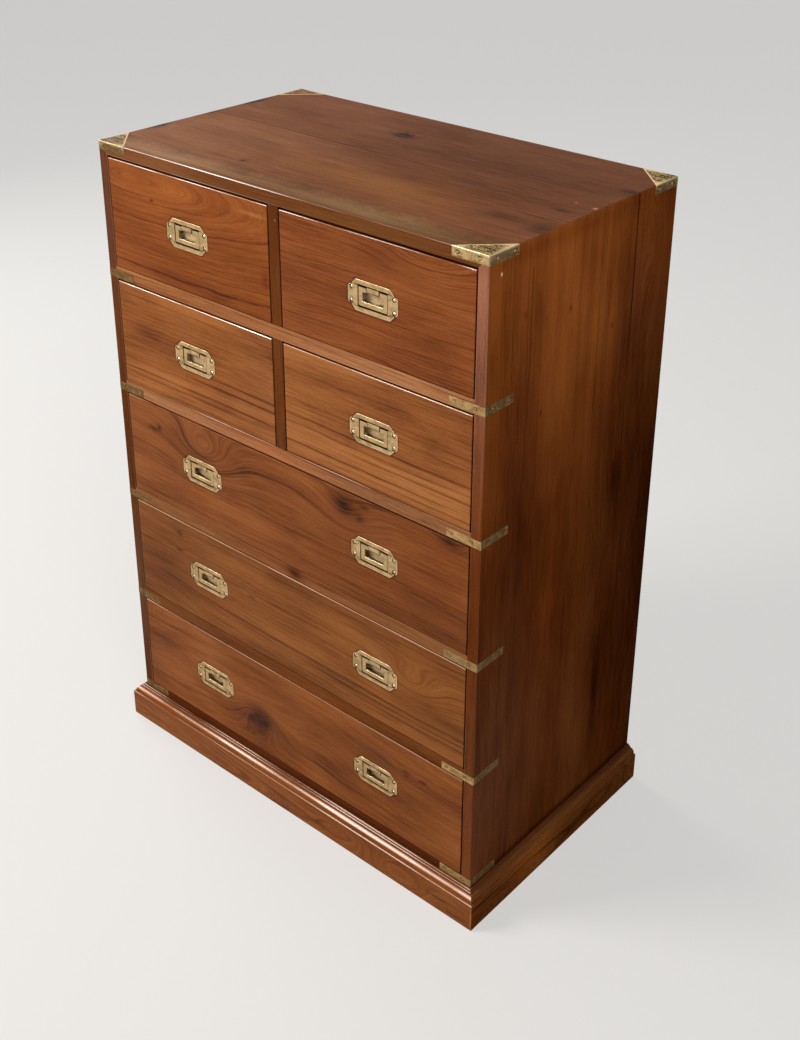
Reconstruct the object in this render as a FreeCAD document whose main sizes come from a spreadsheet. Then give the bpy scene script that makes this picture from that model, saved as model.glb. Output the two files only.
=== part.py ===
import FreeCAD, Part
import os
import Sketcher

# A campaign chest of seven drawers: a mitred teak carcase standing on a moulded plinth,
# two pairs of small drawers over three wide ones, flush brass pulls with folding bails,
# and brass straps and corner brackets let in flush.
#
# Frame: X to the right, Y from the drawer fronts to the back, Z up. The origin is the
# middle of the chest's footprint on the floor. All sizes are in millimetres.

doc = FreeCAD.newDocument("campaign_chest")

# ------------------------------------------------------------------ driving sizes
SIZES = (
    ("carcase_width", 760, "width over the two sides"),
    ("carcase_depth", 440, "depth of the sides, front edge to back edge"),
    ("side_thickness", 18, "left and right side boards"),
    ("top_thickness", 20, "top board"),
    ("bottom_thickness", 9, "bottom board, behind the bottom rail"),
    ("bottom_housing", 5, "how far the bottom board is let into each side"),
    ("back_thickness", 8, "vertical back boards"),
    ("back_side_lap", 9, "rebate of each side that takes the back boards"),
    ("back_top_lap", 5, "rebate of the top that takes the back boards"),
    ("back_board_gap", 0.5, "gap between neighbouring back boards"),
    ("rail_thickness", 21, "height of the four rails between the rows"),
    ("rail_depth", 60, "front-to-back size of every rail and divider"),
    ("bottom_rail_height", 14, "height of the rail under the lowest drawer"),
    ("divider_thickness", 20, "upright between two small drawers"),
    ("tenon_length", 8, "stub tenon of a rail in a side, or of a divider in a rail"),
    ("tenon_shoulder", 4, "how much thinner a tenon is than its rail, on each face"),
    ("runner_width", 30, "side runners that carry the drawers"),
    ("runner_height", 18, "height of the runners behind the four rails"),
    ("runner_housing", 3, "how far a runner is let into its side"),
    ("centre_runner_width", 70, "runner that carries two small drawers"),
    ("guide_height", 26, "centre guide standing on a centre runner"),
    ("stop_width", 24, "drawer stop, along the rail"),
    ("stop_depth", 14, "drawer stop, front to back"),
    ("stop_height", 6, "drawer stop, above the rail"),
    ("stop_inset", 60, "drawer stop's middle, from the end of the drawer opening"),
    ("row_1_height", 181, "opening of the top row"),
    ("row_2_height", 180, "opening of the second row"),
    ("row_3_height", 181, "opening of the third row"),
    ("row_4_height", 182, "opening of the fourth row"),
    ("row_5_height", 184, "opening of the lowest row"),
    ("plinth_height", 64, "floor to the underside of the carcase"),
    ("plinth_reach", 18, "how far the plinth stands out from the carcase"),
    ("plinth_bearing", 12, "width of plinth board under the carcase"),
    ("plinth_back_thickness", 22, "plain rear board of the plinth"),
    ("plinth_ledge", 4, "flat ledge round the foot of the carcase"),
    ("moulding_fillet", 2.5, "upper fillet of the plinth moulding, width and height"),
    ("moulding_ovolo", 8, "quarter round of the plinth moulding"),
    ("moulding_bead", 1.5, "step between the quarter round and the flat face"),
    ("glue_block", 40, "leg of the triangular blocks in the plinth's corners"),
    ("front_gap", 1.2, "gap round a drawer front, and beside the drawer"),
    ("slide_clearance", 0.3, "drawer side over its runner, and front before its stops"),
    ("front_thickness", 20, "drawer front"),
    ("drawer_side_thickness", 12, "drawer side"),
    ("drawer_side_drop", 1, "drawer side's top edge below the front's"),
    ("drawer_back_thickness", 12, "drawer back"),
    ("drawer_back_drop", 9, "drawer back's top edge below the sides'"),
    ("drawer_back_inset", 10, "drawer back from the rear end of the sides"),
    ("drawer_back_housing", 4, "how far the drawer back is let into the sides"),
    ("drawer_bottom_thickness", 6, "drawer bottom panel"),
    ("drawer_groove_depth", 5, "groove for the bottom panel"),
    ("drawer_groove_height", 10, "groove above the lower edge of the sides"),
    ("drawer_rear_space", 14, "space between a closed drawer and the back boards"),
    ("dovetail_depth", 14, "length of the tails in the drawer front"),
    ("dovetail_pin", 14, "width of a pin at the tail's wide end"),
    ("dovetail_slope", 2.5, "how much a tail narrows on each flank"),
    ("plate_width", 90, "pull plate"),
    ("plate_height", 46, "pull plate"),
    ("plate_thickness", 2, "pull plate"),
    ("plate_block_width", 62, "full-height middle of the pull plate"),
    ("plate_ear_height", 27, "low end of the pull plate"),
    ("plate_ear_length", 7, "low end of the pull plate, beyond the cut corner"),
    ("plate_notch", 2, "small step where the cut corner meets the ear"),
    ("opening_width", 54, "opening of the pull plate"),
    ("opening_height", 30, "opening of the pull plate"),
    ("tongue_width", 22, "tongue that hangs into the opening between the knuckles"),
    ("tongue_height", 8, "length of the tongue"),
    ("lug_depth", 2.2, "lug behind the tongue that holds the pin"),
    ("pin_diameter", 1.6, "hinge pin of the bail"),
    ("pin_length", 38, "hinge pin of the bail"),
    ("pin_clearance", 0.05, "bail bore round the pin, on the radius"),
    ("bore_length", 40, "bail bore from end to end, longer than the pin"),
    ("bail_thickness", 3, "flat bail"),
    ("bail_bar", 7, "width of the bail's arms and lower bar"),
    ("bail_gap", 0.4, "bail inside the opening, all round"),
    ("bail_swing_gap", 0.55, "bail under the opening's top edge, room for its swing"),
    ("bail_recess", 0.3, "bail's face behind the plate's face"),
    ("bail_chamfer", 0.6, "bevel round the bail's face"),
    ("pan_depth", 10, "outside depth of the finger pan behind the plate"),
    ("pan_wall", 1, "sheet of the finger pan"),
    ("pan_margin", 1, "pan's inside beyond the opening, all round"),
    ("pan_taper", 1, "how much the pan's ends close in towards its floor"),
    ("pan_slope", 3, "how much the pan's top and bottom close in towards its floor"),
    ("pan_clearance", 0.5, "pocket in the drawer front round the pan"),
    ("brass_thickness", 1.5, "straps and corner brackets"),
    ("brass_proud", 0.2, "how far straps and brackets stand out of the wood"),
    ("strap_width", 14, "straps, and the legs of the corner brackets"),
    ("strap_leg", 60, "leg of a strap or corner bracket"),
    ("strap_drop", 2.5, "strap's middle below the middle of its rail, except at the bottom rail"),
    ("strap_screw_inset", 16, "strap's near screw from the corner"),
    ("strap_screw_end", 9, "strap's far screw from the end of the leg"),
    ("bracket_screw_inset", 14, "bracket's top screws from the nearer edge"),
    ("bracket_screw_reach", 36, "bracket's top screws from the farther edge"),
    ("screw_head", 6, "head diameter"),
    ("screw_head_depth", 1.7, "height of the countersunk head"),
    ("screw_shank", 2.8, "shank diameter"),
    ("screw_length", 14, "whole screw"),
    ("screw_point", 3, "tapered end of the screw"),
    ("screw_slot_width", 0.9, "slot in the head"),
    ("screw_slot_depth", 0.8, "slot in the head"),
    ("plate_screw_inset", 6.5, "pull screws from the end of the plate"),
    ("plate_screw_rise", 9.7, "pull screws above and below the plate's middle"),
    ("back_screw_inset", 20, "back board screws from the edges of a board"),
)
BACK_BOARDS = 5
TAILS = 4
ROWS = (1, 2, 3, 4, 5)
RAILS = (1, 2, 3, 4)
BOTTOM = 5  # the level of the bottom rail, under the lowest row
LEVELS = (*RAILS, BOTTOM)
TOUCHING = 1e-4  # two places this close are the same

dim = doc.addObject("Spreadsheet::Sheet", "dim")
for line, (size_name, size, meaning) in enumerate(SIZES, start=1):
    dim.set(f"A{line}", size_name)
    dim.set(f"B{line}", str(size))
    dim.setAlias(f"B{line}", size_name)
    dim.set(f"C{line}", meaning)
doc.recompute()

# ------------------------------------------------------------------ places worked out from them
HALF_WIDTH = "(dim.carcase_width / 2)"
INNER_HALF = "(dim.carcase_width / 2 - dim.side_thickness)"
OVERALL_DEPTH = "(dim.plinth_reach + dim.carcase_depth + dim.brass_proud)"
FRONT = f"(dim.plinth_reach - {OVERALL_DEPTH} / 2)"
BACK = f"({FRONT} + dim.carcase_depth)"
BACK_INSIDE = f"({BACK} - dim.back_thickness)"
RAIL_BACK = f"({FRONT} + dim.rail_depth)"
PLINTH_TOP = "dim.plinth_height"


def opening_floor(row):
    """Height of the floor of a row's drawer opening: rows are counted from the top."""
    below = [f"dim.row_{lower}_height + dim.rail_thickness" for lower in ROWS if lower > row]
    return "(" + " + ".join(["dim.plinth_height + dim.bottom_rail_height"] + below) + ")"


def opening_head(row):
    """Height of the upper edge of a row's drawer opening."""
    return f"({opening_floor(row)} + dim.row_{row}_height)"


TOP_UNDERSIDE = opening_head(1)
CARCASE_TOP = f"({TOP_UNDERSIDE} + dim.top_thickness)"
BOTTOM_RAIL_TOP = opening_floor(ROWS[-1])


def mirrored(span):
    """The (low, high) span on the other side of the middle plane."""
    return (f"-({span[1]})", f"-({span[0]})")


def on_side(side, span):
    """A span given for the right side, or its mirror image for the left side."""
    return span if side > 0 else mirrored(span)


def value(formula):
    """The number that a formula gives with the sizes of the sheet."""
    return float(dim.evalExpression(formula))


# ------------------------------------------------------------------ ways of making pieces
def place(thing, x, y, z):
    """Binds the position of an object."""
    thing.setExpression("Placement.Base.x", x)
    thing.setExpression("Placement.Base.y", y)
    thing.setExpression("Placement.Base.z", z)


def board(name, x, y, z):
    """A rectangular board, given by its (low, high) span along each axis."""
    made = doc.addObject("Part::Box", name)
    made.setExpression("Length", f"({x[1]}) - ({x[0]})")
    made.setExpression("Width", f"({y[1]}) - ({y[0]})")
    made.setExpression("Height", f"({z[1]}) - ({z[0]})")
    place(made, x[0], y[0], z[0])
    return made


def joined(name, pieces):
    """Several shapes made into one."""
    made = doc.addObject("Part::MultiFuse", name)
    made.Shapes = pieces
    return made


def carved(name, base, tools):
    """A piece with the volume of the tools taken out of it."""
    made = doc.addObject("Part::Cut", name)
    made.Base = base
    made.Tool = tools[0] if len(tools) == 1 else joined(name + "_waste", tools)
    return made


def grouped(name, pieces):
    """Separate solids that share one sub-part."""
    made = doc.addObject("Part::Compound", name)
    made.Links = pieces
    return made


def copy_of(master, name, at, turn=None):
    """One more of an identical piece, set at a place and turned."""
    made = doc.addObject("App::Link", name)
    made.LinkedObject = master
    if turn is not None:
        made.Placement = FreeCAD.Placement(FreeCAD.Vector(), turn)
    place(made, *at)
    return made


def sketch_on(body, role, outlines):
    """A sketch of closed straight-sided outlines whose corners are bound to the sheet."""
    sketch = body.newObject("Sketcher::SketchObject", body.Name + "_sketch")
    plane = [feature for feature in body.Origin.OriginFeatures if feature.Role == role][0]
    sketch.AttachmentSupport = [(plane, "")]
    sketch.MapMode = "FlatFace"
    for corners in outlines:
        first = sketch.GeometryCount
        points = [FreeCAD.Vector(value(u), value(v), 0) for u, v in corners]
        for index, start in enumerate(points):
            end = points[(index + 1) % len(points)]
            sketch.addGeometry(Part.LineSegment(start, end), False)
        for index, (u, v) in enumerate(corners):
            line = first + index
            following = first + (index + 1) % len(corners)
            sketch.addConstraint(Sketcher.Constraint("Coincident", line, 2, following, 1))
            for kind, formula in (("DistanceX", u), ("DistanceY", v)):
                distance = Sketcher.Constraint(kind, -1, 1, line, 1, value(formula))
                number = sketch.addConstraint(distance)
                sketch.setExpression(f"Constraints[{number}]", formula)
    return sketch


def padded(name, role, outlines, length, reverse=False, both_ways=False):
    """A body padded from straight-sided outlines on one of its own planes."""
    body = doc.addObject("PartDesign::Body", name)
    sketch = sketch_on(body, role, outlines)
    pad = body.newObject("PartDesign::Pad", name + "_pad")
    pad.Profile = sketch
    pad.setExpression("Length", length)
    pad.Reversed = reverse
    pad.Midplane = both_ways
    doc.recompute()
    return body


def edges_where(shape, test):
    """Names of the straight edges whose two ends pass the test."""
    names = []
    for number, edge in enumerate(shape.Edges, start=1):
        ends = [vertex.Point for vertex in edge.Vertexes]
        if len(ends) == 2 and all(test(end) for end in ends):
            names.append(f"Edge{number}")
    return names


NODES = []


def node(name, thing):
    """Names the finished sub-part; its label is the name of its file."""
    thing.Label = name
    NODES.append(thing)
    return thing


# ------------------------------------------------------------------ wood screws
# Slotted countersunk brass screws. The screw lies along Y with its head in the plane
# y = 0, so that it is driven towards +Y; the plain one without a slot shapes the holes.
SHANK_RADIUS = "dim.screw_shank / 2"
SCREW_PROFILE = (
    ("0", "0"),
    ("dim.screw_head / 2", "0"),
    (SHANK_RADIUS, "dim.screw_head_depth"),
    (SHANK_RADIUS, "dim.screw_length - dim.screw_point"),
    ("0", "dim.screw_length"),
)


def turned_screw(name):
    """The screw's half section turned about the Y axis."""
    body = doc.addObject("PartDesign::Body", name)
    sketch = sketch_on(body, "XY_Plane", [SCREW_PROFILE])
    turned = body.newObject("PartDesign::Revolution", name + "_turned")
    turned.Profile = sketch
    turned.ReferenceAxis = (sketch, ["V_Axis"])
    turned.Angle = 360
    doc.recompute()
    return body


screw_hole = turned_screw("screw_hole")
screw_master = turned_screw("screw")
SLOT_HALF = "dim.screw_slot_width / 2"
HEAD_RADIUS = "dim.screw_head / 2"
slot_outline = (
    (f"-{HEAD_RADIUS}", f"-{SLOT_HALF}"),
    (HEAD_RADIUS, f"-{SLOT_HALF}"),
    (HEAD_RADIUS, SLOT_HALF),
    (f"-{HEAD_RADIUS}", SLOT_HALF),
)
slot = screw_master.newObject("PartDesign::Pocket", "screw_slot")
slot.Profile = sketch_on(screw_master, "XZ_Plane", [slot_outline])
slot.setExpression("Length", "dim.screw_slot_depth")
doc.recompute()

X_AXIS = FreeCAD.Vector(1, 0, 0)
Y_AXIS = FreeCAD.Vector(0, 1, 0)
Z_AXIS = FreeCAD.Vector(0, 0, 1)
INTO_BACK = FreeCAD.Rotation()
INTO_FRONT = FreeCAD.Rotation(Z_AXIS, 180)
INTO_LEFT = FreeCAD.Rotation(Z_AXIS, 90)
INTO_RIGHT = FreeCAD.Rotation(Z_AXIS, -90)
DOWNWARDS = FreeCAD.Rotation(X_AXIS, -90)
SLOT_STEP = 37  # degrees from one screw's slot to the next, so that none line up


class Screws:
    """A set of screws with the holes they need, driven one by one."""

    def __init__(self, name):
        self.name = name
        self.screws = []
        self.holes = []

    def drive(self, at, direction):
        """Drives one screw with its head at a place, and gives its hole."""
        number = len(self.screws) + 1
        turn = direction * FreeCAD.Rotation(Y_AXIS, SLOT_STEP * number % 180)
        self.screws.append(copy_of(screw_master, f"{self.name}_{number}", at, turn))
        hole = copy_of(screw_hole, f"{self.name}_hole_{number}", at, direction)
        self.holes.append(hole)
        return hole


# ------------------------------------------------------------------ brass straps and corner brackets
# A strap is an L of sheet brass let in round a front corner at each rail. A bracket has
# three legs, the top one a triangle. Both are described for the right side; `side` is
# 1 for the right and -1 for the left, `end` is -1 for the front and 1 for the back.
OUTER_FACE = f"({HALF_WIDTH} + dim.brass_proud)"
LEG_END = f"({HALF_WIDTH} - dim.strap_leg)"
BRASS_IN = "(dim.brass_thickness - dim.brass_proud)"
END_FACE = {-1: FRONT, 1: BACK}
HAND = {-1: "left", 1: "right"}
END = {-1: "front", 1: "back"}
carcase_screws = Screws("carcase_screw")
side_holes = {1: [], -1: []}
rail_holes = {level: [] for level in LEVELS}
top_holes = []


def end_leg(end):
    """Y spans of a leg's sheet on the front or back face, and of a leg along the side."""
    face = END_FACE[end]
    if end < 0:
        return (
            (f"{face} - dim.brass_proud", f"{face} + {BRASS_IN}"),
            (f"{face} - dim.brass_proud", f"{face} + dim.strap_leg"),
        )
    return (
        (f"{face} - {BRASS_IN}", f"{face} + dim.brass_proud"),
        (f"{face} - dim.strap_leg", f"{face} + dim.brass_proud"),
    )


def two_legs(name, side, end, z):
    """The sheets on the end face and on the side face of one corner."""
    end_sheet, side_run = end_leg(end)
    across = board(name + "_across", on_side(side, (LEG_END, OUTER_FACE)), end_sheet, z)
    side_sheet = on_side(side, (f"{HALF_WIDTH} - {BRASS_IN}", OUTER_FACE))
    along = board(name + "_along", side_sheet, side_run, z)
    return [across, along]


def leg_screws(side, end, z):
    """Two screws through each leg; returns the holes through the end face and the side."""
    surface = f"{END_FACE[end]} + ({end}) * dim.brass_proud"
    inward = f"-({end})"
    direction = INTO_BACK if end < 0 else INTO_FRONT
    end_face_holes = []
    side_face_holes = []
    for reach in ("dim.strap_screw_inset", "(dim.strap_leg - dim.strap_screw_end)"):
        x = f"({side}) * ({HALF_WIDTH} - {reach})"
        end_face_holes.append(carcase_screws.drive((x, surface, z), direction))
        y = f"{END_FACE[end]} + ({inward}) * {reach}"
        side_direction = INTO_LEFT if side > 0 else INTO_RIGHT
        at = (f"({side}) * {OUTER_FACE}", y, z)
        side_face_holes.append(carcase_screws.drive(at, side_direction))
    return end_face_holes, side_face_holes


straps = []
strap_blanks = {level: [] for level in LEVELS}
for level in LEVELS:
    if level in RAILS:
        middle = f"({opening_floor(level)} - dim.rail_thickness / 2 - dim.strap_drop)"
    else:
        middle = f"({PLINTH_TOP} + dim.bottom_rail_height / 2)"
    z_span = (f"{middle} - dim.strap_width / 2", f"{middle} + dim.strap_width / 2")
    for side in (-1, 1):
        name = f"strap_{level}_{HAND[side]}"
        blank = joined(name + "_blank", two_legs(name, side, -1, z_span))
        front_holes, flank_holes = leg_screws(side, -1, middle)
        straps.append(carved(name, blank, front_holes + flank_holes))
        strap_blanks[level].append(blank)
        rail_holes[level] += front_holes + flank_holes
        side_holes[side] += front_holes + flank_holes + [blank]
node("corner_straps", grouped("corner_straps", straps))

brackets = []
bracket_blanks = []
BRACKET_MIDDLE = f"({CARCASE_TOP} - dim.strap_width / 2)"
BRACKET_SPAN = (f"{CARCASE_TOP} - dim.strap_width", f"{CARCASE_TOP} + dim.brass_proud")
for side in (-1, 1):
    for end in (-1, 1):
        name = f"bracket_{HAND[side]}_{END[end]}"
        outer_y = f"({END_FACE[end]} + ({end}) * dim.brass_proud)"
        inner_y = f"({END_FACE[end]} - ({end}) * dim.strap_leg)"
        triangle = (
            (f"({side}) * {LEG_END}", outer_y),
            (f"({side}) * {OUTER_FACE}", outer_y),
            (f"({side}) * {OUTER_FACE}", inner_y),
        )
        top_leg = padded(name + "_top", "XY_Plane", [triangle], "dim.brass_thickness", True)
        place(top_leg, "0", "0", f"{CARCASE_TOP} + dim.brass_proud")
        blank = joined(name + "_blank", two_legs(name, side, end, BRACKET_SPAN) + [top_leg])
        end_holes, flank_holes = leg_screws(side, end, BRACKET_MIDDLE)
        upper_holes = []
        reaches = ("dim.bracket_screw_inset", "dim.bracket_screw_reach")
        for along_x, along_y in (reaches, reaches[::-1]):
            x = f"({side}) * ({HALF_WIDTH} - {along_x})"
            y = f"{END_FACE[end]} - ({end}) * {along_y}"
            z = f"{CARCASE_TOP} + dim.brass_proud"
            upper_holes.append(carcase_screws.drive((x, y, z), DOWNWARDS))
        holes = end_holes + flank_holes + upper_holes
        brackets.append(carved(name, blank, holes))
        bracket_blanks.append(blank)
        top_holes += holes + [blank]
        side_holes[side] += holes + [blank]
node("corner_brackets", grouped("corner_brackets", brackets))

# ------------------------------------------------------------------ rails and dividers
# Each rail is as deep as the dividers and has a stub tenon at both ends, set back from
# the front edge, in a mortise of the side. The dividers are tenoned into the rails and
# into the top in the same way.
TENON_FRONT = f"({FRONT} + dim.side_thickness / 2)"


def tenoned_rail(name, z, shoulder):
    """A rail between the sides, and its tenon as a bar right through it."""
    body = board(name + "_body", (f"-{INNER_HALF}", INNER_HALF), (FRONT, RAIL_BACK), z)
    reach = f"({INNER_HALF} + dim.tenon_length)"
    height = (f"{z[0]} + {shoulder}", f"{z[1]} - {shoulder}")
    tenon = board(name + "_tenon", (f"-{reach}", reach), (TENON_FRONT, RAIL_BACK), height)
    return body, tenon


rail_tenons = []
rail_bodies = {}
for level in RAILS:
    z_span = (f"{opening_floor(level)} - dim.rail_thickness", opening_floor(level))
    rail_body, tenon = tenoned_rail(f"rail_{level}", z_span, "dim.tenon_shoulder")
    rail_bodies[level] = joined(f"rail_{level}_blank", [rail_body, tenon])
    rail_tenons.append(tenon)
bottom_span = (PLINTH_TOP, BOTTOM_RAIL_TOP)
rail_body, tenon = tenoned_rail("bottom_rail", bottom_span, "dim.tenon_shoulder")
rail_bodies[BOTTOM] = joined("bottom_rail_blank", [rail_body, tenon])
rail_tenons.append(tenon)

dividers = []
divider_tenons = []
DIVIDER_HALF = "(dim.divider_thickness / 2)"
STUB_HALF = f"({DIVIDER_HALF} - dim.tenon_shoulder)"
for row in (1, 2):
    upright = board(
        f"divider_{row}_body",
        (f"-{DIVIDER_HALF}", DIVIDER_HALF),
        (FRONT, RAIL_BACK),
        (opening_floor(row), opening_head(row)),
    )
    stub = board(
        f"divider_{row}_tenon",
        (f"-{STUB_HALF}", STUB_HALF),
        (TENON_FRONT, f"{RAIL_BACK} - dim.side_thickness / 2"),
        (f"{opening_floor(row)} - dim.tenon_length", f"{opening_head(row)} + dim.tenon_length"),
    )
    dividers.append(joined(f"divider_{row}", [upright, stub]))
    divider_tenons.append(stub)
node("dividers", grouped("dividers", dividers))

# ------------------------------------------------------------------ drawer runners, guides and stops
# The rails carry the drawers at the front only. Behind them run side runners, let into
# the sides, and under each pair of small drawers a wide centre runner with a guide. The
# back boards are screwed to the rear ends of the upper runners.
RUNNER_RUN = (RAIL_BACK, BACK_INSIDE)
CENTRE_HALF = "(dim.centre_runner_width / 2)"
BOTTOM_RUNNER_HEIGHT = "(dim.bottom_rail_height - dim.bottom_thickness)"


def back_hole(x, z):
    """Drives a screw through the back boards from behind, and gives its hole."""
    return carcase_screws.drive((x, BACK, z), INTO_FRONT)


back_holes = {}
side_runners = []
runner_beds = {1: [], -1: []}
for row in ROWS:
    floor_of_row = opening_floor(row)
    under = "dim.runner_height" if row in RAILS else BOTTOM_RUNNER_HEIGHT
    z_span = (f"{floor_of_row} - {under}", floor_of_row)
    for side in (-1, 1):
        name = f"side_runner_{row}_{HAND[side]}"
        x_inner = f"{INNER_HALF} - dim.runner_width"
        x_span = on_side(side, (x_inner, f"{INNER_HALF} + dim.runner_housing"))
        runner = board(name + "_blank", x_span, RUNNER_RUN, z_span)
        runner_beds[side].append(runner)
        if row in RAILS:
            x = f"({side}) * ({INNER_HALF} - dim.runner_width / 2)"
            hole = back_hole(x, f"{floor_of_row} - dim.runner_height / 2")
            back_holes.setdefault(side, []).append(hole)
            runner = carved(name, runner, [hole])
        side_runners.append(runner)
node("side_runners", grouped("side_runners", side_runners))

centre_pieces = []
for row in (1, 2):
    floor_of_row = opening_floor(row)
    runner_span = (f"{floor_of_row} - dim.runner_height", floor_of_row)
    guide_span = (floor_of_row, f"{floor_of_row} + dim.guide_height")
    blank_name = f"centre_runner_{row}_blank"
    blank = board(blank_name, (f"-{CENTRE_HALF}", CENTRE_HALF), RUNNER_RUN, runner_span)
    holes = []
    for side in (-1, 1):
        hole = back_hole(f"({side}) * {CENTRE_HALF} / 2", f"{floor_of_row} - dim.runner_height / 2")
        holes.append(hole)
    back_holes.setdefault(0, []).extend(holes)
    centre_pieces.append(carved(f"centre_runner_{row}", blank, holes))
    x_span = (f"-{DIVIDER_HALF}", DIVIDER_HALF)
    centre_pieces.append(board(f"centre_guide_{row}", x_span, RUNNER_RUN, guide_span))
node("centre_runners", grouped("centre_runners", centre_pieces))

LEFT_COLUMN = (f"-{INNER_HALF}", f"-{DIVIDER_HALF}")
RIGHT_COLUMN = (DIVIDER_HALF, INNER_HALF)
FULL_WIDTH = (f"-{INNER_HALF}", INNER_HALF)
DRAWERS = (
    (1, 1, LEFT_COLUMN),
    (2, 1, RIGHT_COLUMN),
    (3, 2, LEFT_COLUMN),
    (4, 2, RIGHT_COLUMN),
    (5, 3, FULL_WIDTH),
    (6, 4, FULL_WIDTH),
    (7, 5, FULL_WIDTH),
)
STOP_FRONT = f"({FRONT} + dim.front_thickness + dim.slide_clearance)"
STOP_RUN = (STOP_FRONT, f"{STOP_FRONT} + dim.stop_depth")
stops = []
for number, row, column in DRAWERS:
    floor_of_row = opening_floor(row)
    z_span = (floor_of_row, f"{floor_of_row} + dim.stop_height")
    middles = (f"({column[0]} + dim.stop_inset)", f"({column[1]} - dim.stop_inset)")
    for hand, middle in zip(("left", "right"), middles):
        x_span = (f"{middle} - dim.stop_width / 2", f"{middle} + dim.stop_width / 2")
        stops.append(board(f"stop_{number}_{hand}", x_span, STOP_RUN, z_span))
node("drawer_stops", grouped("drawer_stops", stops))

# ------------------------------------------------------------------ bottom board and back boards
# The bottom board lies behind the bottom rail, let into the sides. The back is a row of
# upright boards in rebates of the sides and the top.
BOTTOM_HALF = f"({INNER_HALF} + dim.bottom_housing)"
bottom_blank = board(
    "bottom_board_blank",
    (f"-{BOTTOM_HALF}", BOTTOM_HALF),
    RUNNER_RUN,
    (PLINTH_TOP, f"{PLINTH_TOP} + dim.bottom_thickness"),
)
BACK_HALF = f"({INNER_HALF} + dim.back_side_lap)"
BACK_HEAD = f"({TOP_UNDERSIDE} + dim.back_top_lap)"
back_rebate = board(
    "back_rebate",
    (f"-{BACK_HALF}", BACK_HALF),
    (BACK_INSIDE, f"{BACK} + dim.back_thickness"),
    (f"{PLINTH_TOP} - dim.back_thickness", BACK_HEAD),
)
BACK_PITCH = f"(2 * {BACK_HALF} / {BACK_BOARDS})"
BACK_MIDDLE = BACK_BOARDS // 2
runner_holes = {0: back_holes[-1], BACK_MIDDLE: back_holes[0], BACK_BOARDS - 1: back_holes[1]}
back_boards = []
bottom_holes = []
for index in range(BACK_BOARDS):
    left = f"(-{BACK_HALF} + {index} * {BACK_PITCH})"
    right = f"({left} + {BACK_PITCH})"
    left_edge = left if index == 0 else f"{left} + dim.back_board_gap / 2"
    right_edge = right if index == BACK_BOARDS - 1 else f"{right} - dim.back_board_gap / 2"
    blank = board(
        f"back_board_{index + 1}_blank",
        (left_edge, right_edge),
        (BACK_INSIDE, BACK),
        (PLINTH_TOP, BACK_HEAD),
    )
    foot = f"{PLINTH_TOP} + dim.bottom_thickness / 2"
    across = (f"{left} + dim.back_screw_inset", f"{right} - dim.back_screw_inset")
    holes = [back_hole(x, foot) for x in across]
    bottom_holes += holes
    holes = holes + runner_holes.get(index, [])
    back_boards.append(carved(f"back_board_{index + 1}", blank, holes))
node("back_boards", grouped("back_boards", back_boards))
node("bottom_board", carved("bottom_board", bottom_blank, bottom_holes))

# ------------------------------------------------------------------ sides, top and rails
# The sides and the top meet in mitres, so that no end grain shows. The mortises,
# housings and brass recesses are cut with the pieces that go into them.
for side, name in ((-1, "left_side"), (1, "right_side")):
    section = (
        (f"({side}) * {HALF_WIDTH}", PLINTH_TOP),
        (f"({side}) * {HALF_WIDTH}", CARCASE_TOP),
        (f"({side}) * {INNER_HALF}", TOP_UNDERSIDE),
        (f"({side}) * {INNER_HALF}", PLINTH_TOP),
    )
    blank = padded(name + "_blank", "XZ_Plane", [section], "dim.carcase_depth")
    place(blank, "0", BACK, "0")
    housed = rail_tenons + runner_beds[side] + [bottom_blank, back_rebate]
    node(name, carved(name, blank, housed + side_holes[side]))

section = (
    (f"-{HALF_WIDTH}", CARCASE_TOP),
    (f"-{INNER_HALF}", TOP_UNDERSIDE),
    (INNER_HALF, TOP_UNDERSIDE),
    (HALF_WIDTH, CARCASE_TOP),
)
top_blank = padded("top_board_blank", "XZ_Plane", [section], "dim.carcase_depth")
place(top_blank, "0", BACK, "0")
node("top_board", carved("top_board", top_blank, [back_rebate, divider_tenons[0]] + top_holes))

mortises = {1: divider_tenons, 2: [divider_tenons[1]]}
for level in RAILS:
    tools = mortises.get(level, []) + strap_blanks[level] + rail_holes[level]
    node(f"rail_{level}", carved(f"rail_{level}", rail_bodies[level], tools))
tools = strap_blanks[BOTTOM] + rail_holes[BOTTOM]
node("bottom_rail", carved("bottom_rail", rail_bodies[BOTTOM], tools))

# ------------------------------------------------------------------ plinth
# Three moulded boards mitred at the front corners, a plain rear board between the side
# ones, and a triangular glue block in each corner. The section is drawn with the outer
# face towards -Y and the line y = 0 under the face of the carcase.
OVOLO_OUT = "(dim.plinth_ledge + dim.moulding_fillet)"
BEAD_OUT = f"({OVOLO_OUT} + dim.moulding_ovolo)"
OVOLO_TOP = "(dim.plinth_height - 2 * dim.moulding_fillet)"
OVOLO_FOOT = f"({OVOLO_TOP} - dim.moulding_ovolo)"
BEAD_TOP = f"({OVOLO_FOOT} - dim.moulding_bead)"
PLINTH_SECTION = (
    ("dim.plinth_bearing", "0"),
    ("dim.plinth_bearing", "dim.plinth_height"),
    ("-dim.plinth_ledge", "dim.plinth_height"),
    ("-dim.plinth_ledge", "dim.plinth_height - dim.moulding_fillet"),
    (f"-{OVOLO_OUT}", "dim.plinth_height - dim.moulding_fillet"),
    (f"-{OVOLO_OUT}", OVOLO_TOP),
    (f"-{BEAD_OUT}", OVOLO_TOP),
    (f"-{BEAD_OUT}", BEAD_TOP),
    ("-dim.plinth_reach", BEAD_TOP),
    ("-dim.plinth_reach", "0"),
)
OVOLO_MARGIN = 0.4  # flat left at each end of the quarter round


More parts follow.
